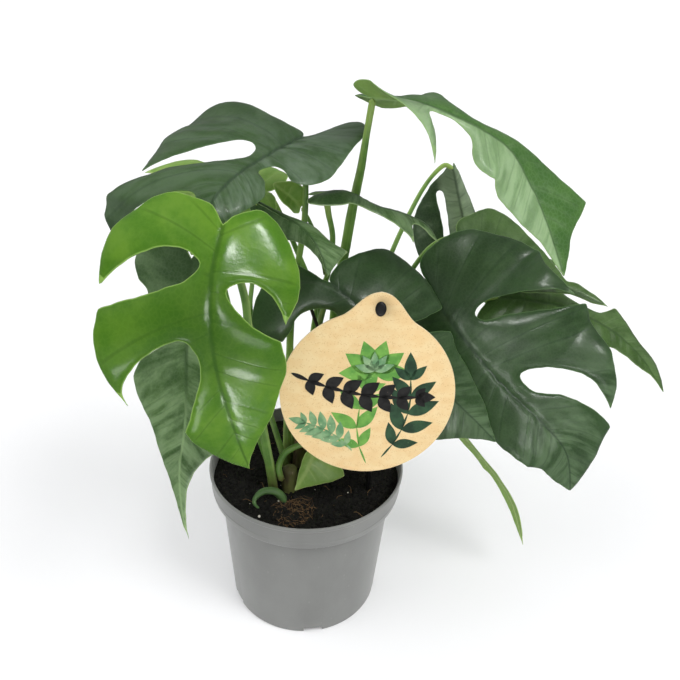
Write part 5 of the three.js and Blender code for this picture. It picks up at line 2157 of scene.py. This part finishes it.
def plate(
    loops: Sequence[Sequence[Flat]], low: float, high: float, ease: float
) -> tuple[Array, Faces, int]:
    """Makes a flat plate from an outline and holes, its edges slightly rounded.

    Args:
        loops: The outline anticlockwise, then each hole clockwise.
        low: Height of its back.
        high: Height of its front.
        ease: Size of the rounding at the front and the back.

    Returns:
        The points, the faces, and how many faces are front or back.
    """
    rows = [np.array(loop, float) for loop in loops]
    spots = [Vector(spot) for row in rows for spot in (row - outward(row) * ease).tolist()]
    starts = np.cumsum([0, *map(len, rows)]).tolist()
    rings = [list(range(start, end)) for start, end in zip(starts, starts[1:])]
    edges = [pair for ring in rings for pair in zip(ring, ring[1:] + ring[:1])]
    # With holes the edges bound the plate and the triangles inside them are kept
    bounds = (edges, [], 5) if len(rings) > 1 else ([], rings, 1)
    flat, _, triangles, sources, _, _ = delaunay_2d_cdt(spots, *bounds, 1e-6)
    index = {old: new for new, found in enumerate(sources) for old in found}
    inner, outer = np.array([tuple(spot) for spot in flat]), np.vstack(rows)
    size, first = len(inner), 2 * len(inner)
    second = first + len(outer)
    levels = ((inner, high), (inner, low), (outer, high - ease), (outer, low + ease))
    faces: Faces = [tuple(face) for face in triangles]
    faces += [tuple(size + corner for corner in reversed(face)) for face in triangles]
    flat_count = len(faces)
    for here, after in edges:
        a, b = index[here], index[after]
        faces += [
            (a, first + here, first + after, b),
            (first + here, second + here, second + after, first + after),
            (second + here, size + a, size + b, second + after),
        ]
    points = [np.column_stack([row, np.full(len(row), level)]) for row, level in levels]
    return np.vstack(points), faces, flat_count


@dataclass
class CardTag:
    """Round kraft-card tag with an ear, printed with plain sprigs and a black vine."""

    SHARP = math.radians(40)
    EDGE_EASE = 0.16
    INK_EASE = 0.01
    INK_DEPTH = 0.1

    radius: float = 47.0
    thickness: float = 1.2
    centre: Spot = (31.8, -34.0, 174.1)
    lean: float = 9.0
    ear_centre: Flat = (4.5, 48.5)
    ear_top: float = 57.5
    ear_half_width: float = 9.5
    shoulders: Flat = (59.0, 111.0)
    hole: Flat = (3.2, 4.4)
    print_height: float = 0.05

    def placed(self, points: Array) -> Array:
        """Turns points drawn on the tag's face, thickness along +Z, to the tag's place."""
        turn = Matrix.Rotation(math.pi / 2 - math.radians(self.lean), 3, "X")
        return points @ np.array(turn).T + np.array(self.centre)

    def outline(self) -> list[Flat]:
        """Draws the card's edge, anticlockwise.

        Returns:
            The points.
        """
        right, left = (math.radians(angle) for angle in self.shoulders)
        turns = np.linspace(left, right + 2 * math.pi, 130)
        loop = [(self.radius * math.cos(t), self.radius * math.sin(t)) for t in turns]
        start, end = loop.pop(), loop[0]
        ear_x, wide, high = self.ear_centre[0], self.ear_half_width + 1, self.ear_top
        loop += bezier_run(
            start, (start[0] - 7, start[1] + 4.4), (ear_x + wide, high - 1), (ear_x, high)
        )
        loop += bezier_run(
            (ear_x, high), (ear_x - wide, high - 1), (end[0] + 8, end[1] + 2.6), end
        )
        return loop

    def laid(self, name: str, parts: list[tuple[Array, Faces, int]], stuffs: list[Stuff]) -> None:
        """Lays plates on the tag as one piece, the last stuff on their cut edges.

        Args:
            name: The piece's name.
            parts: Each plate's points, faces and number of flat faces.
            stuffs: The materials.
        """
        faces: Faces = []
        edges: list[bool] = []
        count = 0
        for points, part, flat_count in parts:
            faces += [tuple(count + corner for corner in face) for face in part]
            edges += [place >= flat_count for place in range(len(part))]
            count += len(points)
        whole = self.placed(np.vstack([points for points, _, _ in parts]))
        piece = mesh_piece(name, whole, faces, stuffs)
        if len(stuffs) > 1:
            piece.data.polygons.foreach_set("material_index", edges)
        piece.data.set_sharp_from_angle(angle=self.SHARP)
        finish_piece(piece, ["tag"])

    def card(self, palette: Palette) -> None:
        """Builds the card.

        Args:
            palette: The finishes.
        """
        turns = np.linspace(0, -2 * math.pi, 33)[:-1]
        (x, y), (wide, high) = self.ear_centre, self.hole
        hole = [(x + wide * math.cos(t), y + high * math.sin(t)) for t in turns]
        part = plate([self.outline(), hole], 0.0, self.thickness, self.EDGE_EASE)
        self.laid("card_tag", [part], [palette.plain("card"), palette.plain("card_edge")])

    def build(self, palette: Palette) -> None:
        """Builds the card and its print.

        Args:
            palette: The finishes.
        """
        self.card(palette)
        crown = [leaflet((3, 13), angle, 19, 10) for angle in (2, 38, 74, 110, 146, 182)]
        hearts = [leaflet((3, 14), angle, 11, 4.5) for angle in (20, 56, 92, 128, 164)]
        prints = (
            ("print_sprigs_green", "ink_green", sprig((1, -42), (112, -40, 40), 4, 15) + crown),
            ("print_sprigs_dark", "ink_dark", sprig((9, -38), (54, 40, 44), 5, 16)),
            ("print_sprigs_pale", "ink_pale", sprig((-7, -34), (131, 32, 27), 6, 10) + hearts),
            ("print_vine_black", "ink_black", sprig((-41, 12), (-24, 26, 60), 7, 10.5, 0.6, 2.4)),
        )
        for level, (name, ink, shapes) in enumerate(prints, 1):
            low, high = self.thickness - self.INK_DEPTH, self.thickness + self.print_height * level
            parts = [plate([shape], low, high, self.INK_EASE) for shape in shapes]
            self.laid(name, parts, [palette.plain(ink)])


@dataclass
class TagPeg:
    """Oval peg head through the tag's ear, on a straight stake behind the tag."""

    SHARP = math.radians(60)
    BACK = -2.4
    PROUD = 0.65

    tag: CardTag
    stake_radius: float = 1.5
    stake_foot: Spot = (38.0, -14.0, 45.0)
    clearance: float = 0.3
    segments: int = 48

    def head(self, palette: Palette) -> None:
        """Builds the domed oval head.

        Args:
            palette: The finishes.
        """
        wide, high = (size - self.clearance for size in self.tag.hole)
        low, top = self.BACK, self.tag.thickness + self.PROUD
        profile = rounded_profile(
            ((0, low, 0), (1, low, 0.12), (1, top - 0.5, 0.35), (0.72, top, 0.3), (0, top + 0.05, 0))
        )
        points, faces = turned_mesh(profile, self.segments)
        shaped = points * [wide, high, 1] + [*self.tag.ear_centre, 0]
        piece = mesh_piece("peg_head", self.tag.placed(shaped), faces, [palette.plain("black")])
        piece.data.set_sharp_from_angle(angle=self.SHARP)
        finish_piece(piece, ["tag_stake"])

    def build(self, palette: Palette, tree: Tree) -> None:
        """Builds the head and the stake.

        Args:
            palette: The finishes.
            tree: The stalk-growing tree.
        """
        self.head(palette)
        top = self.tag.placed(np.array([*self.tag.ear_centre, -3.0]))
        plan = StalkPlan((self.stake_foot, tuple(top)), (self.stake_radius, self.stake_radius))
        smooth = {"sides": 16, "groove": 0.0, "unevenness": 0.01, "ridges": 0.0}
        stake = Stalk("peg_stake", plan, Slot.BLACK, "tag_stake", **smooth)
        stake.build(tree, palette.plain("black"))


# Studio


class Shows(Enum):
    """What a light adds to a surface."""

    COLOUR = "colour"
    GLOSS = "gloss"


@dataclass
class Studio:
    """White floor, soft lights, and the camera where the photograph was taken."""

    SENSOR = 36.0
    SIGHT = 50.0
    FLOOR_REACH = 12000.0
    FLOOR_LEVEL = -0.3

    eye: Spot = (0.0, -362.11, 397.03)
    yaw: float = 2.75
    pitch: float = 30.03
    roll: float = -2.55
    lens: float = 39.18

    def camera(self) -> None:
        """Sets up the camera."""
        ahead, right = direction(self.yaw, -self.pitch), direction(self.yaw + 90, 0.0)
        turn = Matrix.Rotation(math.radians(self.roll), 3, ahead)
        data = bpy.data.cameras.new("studio_camera")
        data.lens = self.lens
        data.sensor_width = self.SENSOR
        data.clip_end = self.SIGHT
        camera = new_object("studio_camera", data)
        axes = Matrix((turn @ right, turn @ right.cross(ahead), -ahead)).transposed().to_4x4()
        camera.matrix_world = Matrix.Translation(Vector(self.eye) * MM) @ axes
        bpy.context.scene.camera = camera

    def light(
        self, name: str, heading: float, height: float, width: float, power: float,
        shows: Shows = Shows.COLOUR,
    ) -> None:
        """Hangs a large soft light far away.

        Args:
            name: Its name.
            heading: Its compass direction from the plant in degrees, 0 behind and 90 right.
            height: Its height over the floor, in degrees.
            width: How wide it looks from the plant, in degrees.
            power: Its strength.
            shows: What it lights.
        """
        data = bpy.data.lights.new(name, "SUN")
        data.energy = power
        data.angle = math.radians(width)
        lamp = new_object(name, data)
        away = -direction(heading, height)
        lamp.rotation_euler = away.to_track_quat("-Z", "Y").to_euler()
        lamp.visible_glossy = shows is Shows.GLOSS
        lamp.visible_diffuse = shows is Shows.COLOUR

    def glint(self, name: str, place: Spot, size: Flat, power: float) -> None:
        """Lays a small bright card on the floor that only glossy surfaces show.

        Args:
            name: Its name.
            place: Its middle, in millimetres.
            size: Its width and depth, in millimetres.
            power: Its power, in watts.
        """
        data = bpy.data.lights.new(name, "AREA")
        data.shape = "RECTANGLE"
        data.size, data.size_y = size[0] * MM, size[1] * MM
        data.energy = power
        lamp = new_object(name, data)
        lamp.location = Vector(place) * MM
        lamp.rotation_euler = (math.pi, 0.0, 0.0)
        lamp.visible_camera = False
        lamp.visible_diffuse = False

    def floor(self) -> None:
        """Lays the white floor, painted dark grey where it is seen in reflections."""
        reach = self.FLOOR_REACH
        corners = ((-reach, -reach), (reach, -reach), (reach, reach), (-reach, reach))
        points = [(x, y, self.FLOOR_LEVEL) for x, y in corners]
        board = MaterialBoard("studio_floor")
        cloud = board.noise(board.object_place(), 1.5, 2.0)
        shade = board.mix(cloud, paint((244, 244, 245)), paint((240, 240, 242)))
        # Painted dimming of its reflection: seen by glossy rays the floor is dark grey and does not glow
        mirrored = board.add("ShaderNodeLightPath").outputs["Is Glossy Ray"]
        board.shade({
            "Base Color": board.mix(mirrored, shade, paint((96, 98, 100))),
            "Roughness": 1.0,
            "Specular IOR Level": 0.1,
            "Emission Color": (1.0, 1.0, 1.0, 1.0),
            "Emission Strength": board.math("MULTIPLY_ADD", mirrored, -0.1, 0.1),
        })
        mesh_piece("studio_floor", points, [(0, 1, 2, 3)], [board.material])

    def surroundings(self) -> None:
        """Sets up the backdrop that the camera and the reflections see."""
        world = bpy.data.worlds.new("studio_world")
        world.use_nodes = True
        board = NodeBoard(world.node_tree)
        ahead = board.add("ShaderNodeTexCoord").outputs["Generated"]
        depth = board.add("ShaderNodeSeparateXYZ", {0: ahead}).outputs[1]
        ray = board.add("ShaderNodeLightPath").outputs
        mirrored = board.math("MULTIPLY_ADD", ray["Is Glossy Ray"], -0.6, 1.0)
        around = board.times(board.span(depth, -0.6, 0.5, 0.14, 0.6), mirrored)
        backdrop = world.node_tree.nodes["Background"]
        board.feed(backdrop.inputs[0], paint((253, 254, 255)))
        board.feed(backdrop.inputs[1], board.math("MAXIMUM", around, ray["Is Camera Ray"]))
        bpy.context.scene.world = world
        bpy.context.scene.view_settings.view_transform = "Standard"

    def build(self) -> None:
        """Sets up the floor, the lights, the surroundings and the camera."""
        self.floor()
        self.camera()
        self.light("key_right", 125.0, 52.0, 24.0, 1.25)
        self.light("key_glint", 131.0, 50.0, 10.0, 0.6, Shows.GLOSS)
        self.light("side_left", -80.0, 10.0, 50.0, 0.32)
        self.light("side_right", 84.0, 10.0, 50.0, 0.2)
        self.light("window_left", -112.0, 46.0, 45.0, 0.95)
        self.light("front_fill", 170.0, 34.0, 70.0, 1.1)
        self.light("front_window", 163.0, 23.0, 13.0, 0.3, Shows.GLOSS)
        self.light("low_window", 150.0, 8.0, 14.0, 0.12, Shows.GLOSS)
        self.glint("floor_glint_right", (68.0, -395.0, 4.0), (60.0, 230.0), 0.44)
        self.glint("floor_glint_left", (-215.0, -350.0, 4.0), (110.0, 130.0), 0.14)
        self.surroundings()


# The whole plant


@dataclass(frozen=True)
class Dress:
    """How one leaf of the plant is dressed."""

    tone: str
    slot: Slot
    vein_spacing: float = 9.0
    quilt: float = 0.17


DRESSES: dict[str, Dress] = {
    "front_left": Dress("bright", Slot.LEAF_BRIGHT, 12.0, 0.06),
    "upper_left": Dress("dusky", Slot.LEAF_DARK, 8.0, 0.2),
    "top_right": Dress("sheened", Slot.LEAF_MID, 11.0, 0.14),
    "right": Dress("dark", Slot.LEAF_DARK, 12.0, 0.12),
    "centre": Dress("dark", Slot.LEAF_DARK, 10.0, 0.12),
    "lower_left": Dress("soft", Slot.LEAF_DARK, 10.0, 0.16),
    "right_rear": Dress("olive", Slot.LEAF_MID, 9.0, 0.14),
    "right_upper": Dress("olive", Slot.LEAF_MID, 8.0),
    "middle_arch": Dress("soft", Slot.LEAF_MID, 6.0, 0.1),
    "back_right": Dress("slate", Slot.LEAF_DARK, 8.0, 0.12),
    "small_centre": Dress("soft", Slot.LEAF_MID, 6.0, 0.1),
    "low_right": Dress("young", Slot.LEAF_YOUNG, 7.0),
    "back_left": Dress("young", Slot.LEAF_YOUNG, 7.0),
    "young_by_soil": Dress("young", Slot.LEAF_YOUNG, 5.0),
    "young_curled": Dress("young", Slot.LEAF_MID, 5.0),
}


@dataclass
class Plant:
    """All leaves, stalks and stems."""

    SMALL_BELOW = 130.0
    SMALL = {
        "edge_step": 1.0,
        "face_step": 1.2,
        "keel": 0.4,
        "groove": 0.3,
        "quilt": 0.1,
        "billow": 0.25,
        "roll": 0.4,
    }

    palette: Palette
    tree: Tree

    def blades(self) -> None:
        """Builds every blade, the smallest ones with a finer mesh and a flatter relief."""
        for seed, (name, plan) in enumerate(LEAVES.items()):
            dress = DRESSES[name]
            small = plan.rib[0][2] < self.SMALL_BELOW or name == "young_curled"
            relief = self.SMALL if small else {"quilt": dress.quilt}
            blade = LeafBlade(
                name,
                plan,
                dress.tone,
                dress.slot,
                vein_spacing=dress.vein_spacing,
                seed=seed,
                **relief,
            )
            blade.build(self.palette)

    def stalks(self) -> None:
        """Builds every leaf's stalk; the young curled leaf's is a branch of another."""
        finish = self.palette.give(self.palette.STALK)
        for seed, (name, plan) in enumerate(STALKS.items()):
            owner = name.removesuffix("_BRANCH")
            piece = f"stalk_{'young_curled' if name != owner else owner}"
            knee = 0.0 if name in ("young_by_soil", "middle_arch_BRANCH") else 0.22
            stalk = Stalk(
                piece, plan, Slot.STALK, f"petiole_{owner}", knee=knee, seed=float(seed)
            )
            stalk.build(self.tree, finish)

    def stems(self) -> None:
        """Builds the stems and the sheath curled on the soil."""
        bark = {"sides": 32, "step": 0.9, "groove": 0.1, "grain_size": 4.0, "blunt": 1.0}
        bark |= {"unevenness": 0.22, "ridges": 0.03}
        for seed, (name, plan) in enumerate(STEMS.items()):
            stem = Stalk(name, plan, Slot.STEM, name, seed=20.0 + seed, **bark)
            stem.build(self.tree, self.palette.plain("stem"))
        sheath = Stalk(
            "curled_sheath",
            CURLED_SHEATH,
            Slot.SHEATH,
            "curled_sheath",
            sides=24,
            step=0.7,
            groove=0.45,
            unevenness=0.2,
            ridges=0.03,
            grain_size=3.0,
            seed=31.0,
        )
        sheath.build(self.tree, self.palette.plain("sheath"))

    def build(self) -> None:
        """Builds the plant."""
        self.blades()
        self.stalks()
        self.stems()


SUPPORT_STICK = StalkPlan(((44.3, 0.1, 75), (-2, 14, 208)), (1.0, 1.0))


def main() -> None:
    """Builds the pot, the soil, the plant, the tag and the studio, in that order."""
    logging.basicConfig(level=logging.INFO, format="%(name)s: %(message)s")
    palette = Palette()
    tree = stalk_tree()
    NurseryPot().build(palette)
    PottingSoil().build(palette)
    Plant(palette, tree).build()
    tag = CardTag()
    tag.build(palette)
    TagPeg(tag).build(palette, tree)
    plain = {"sides": 14, "groove": 0.0, "unevenness": 0.12, "ridges": 0.0}
    stick = Stalk("support_stick", SUPPORT_STICK, Slot.BLACK, "support_stick", **plain)
    stick.build(tree, palette.plain("black"))
    Studio().build()


if __name__ == "__main__":
    main()
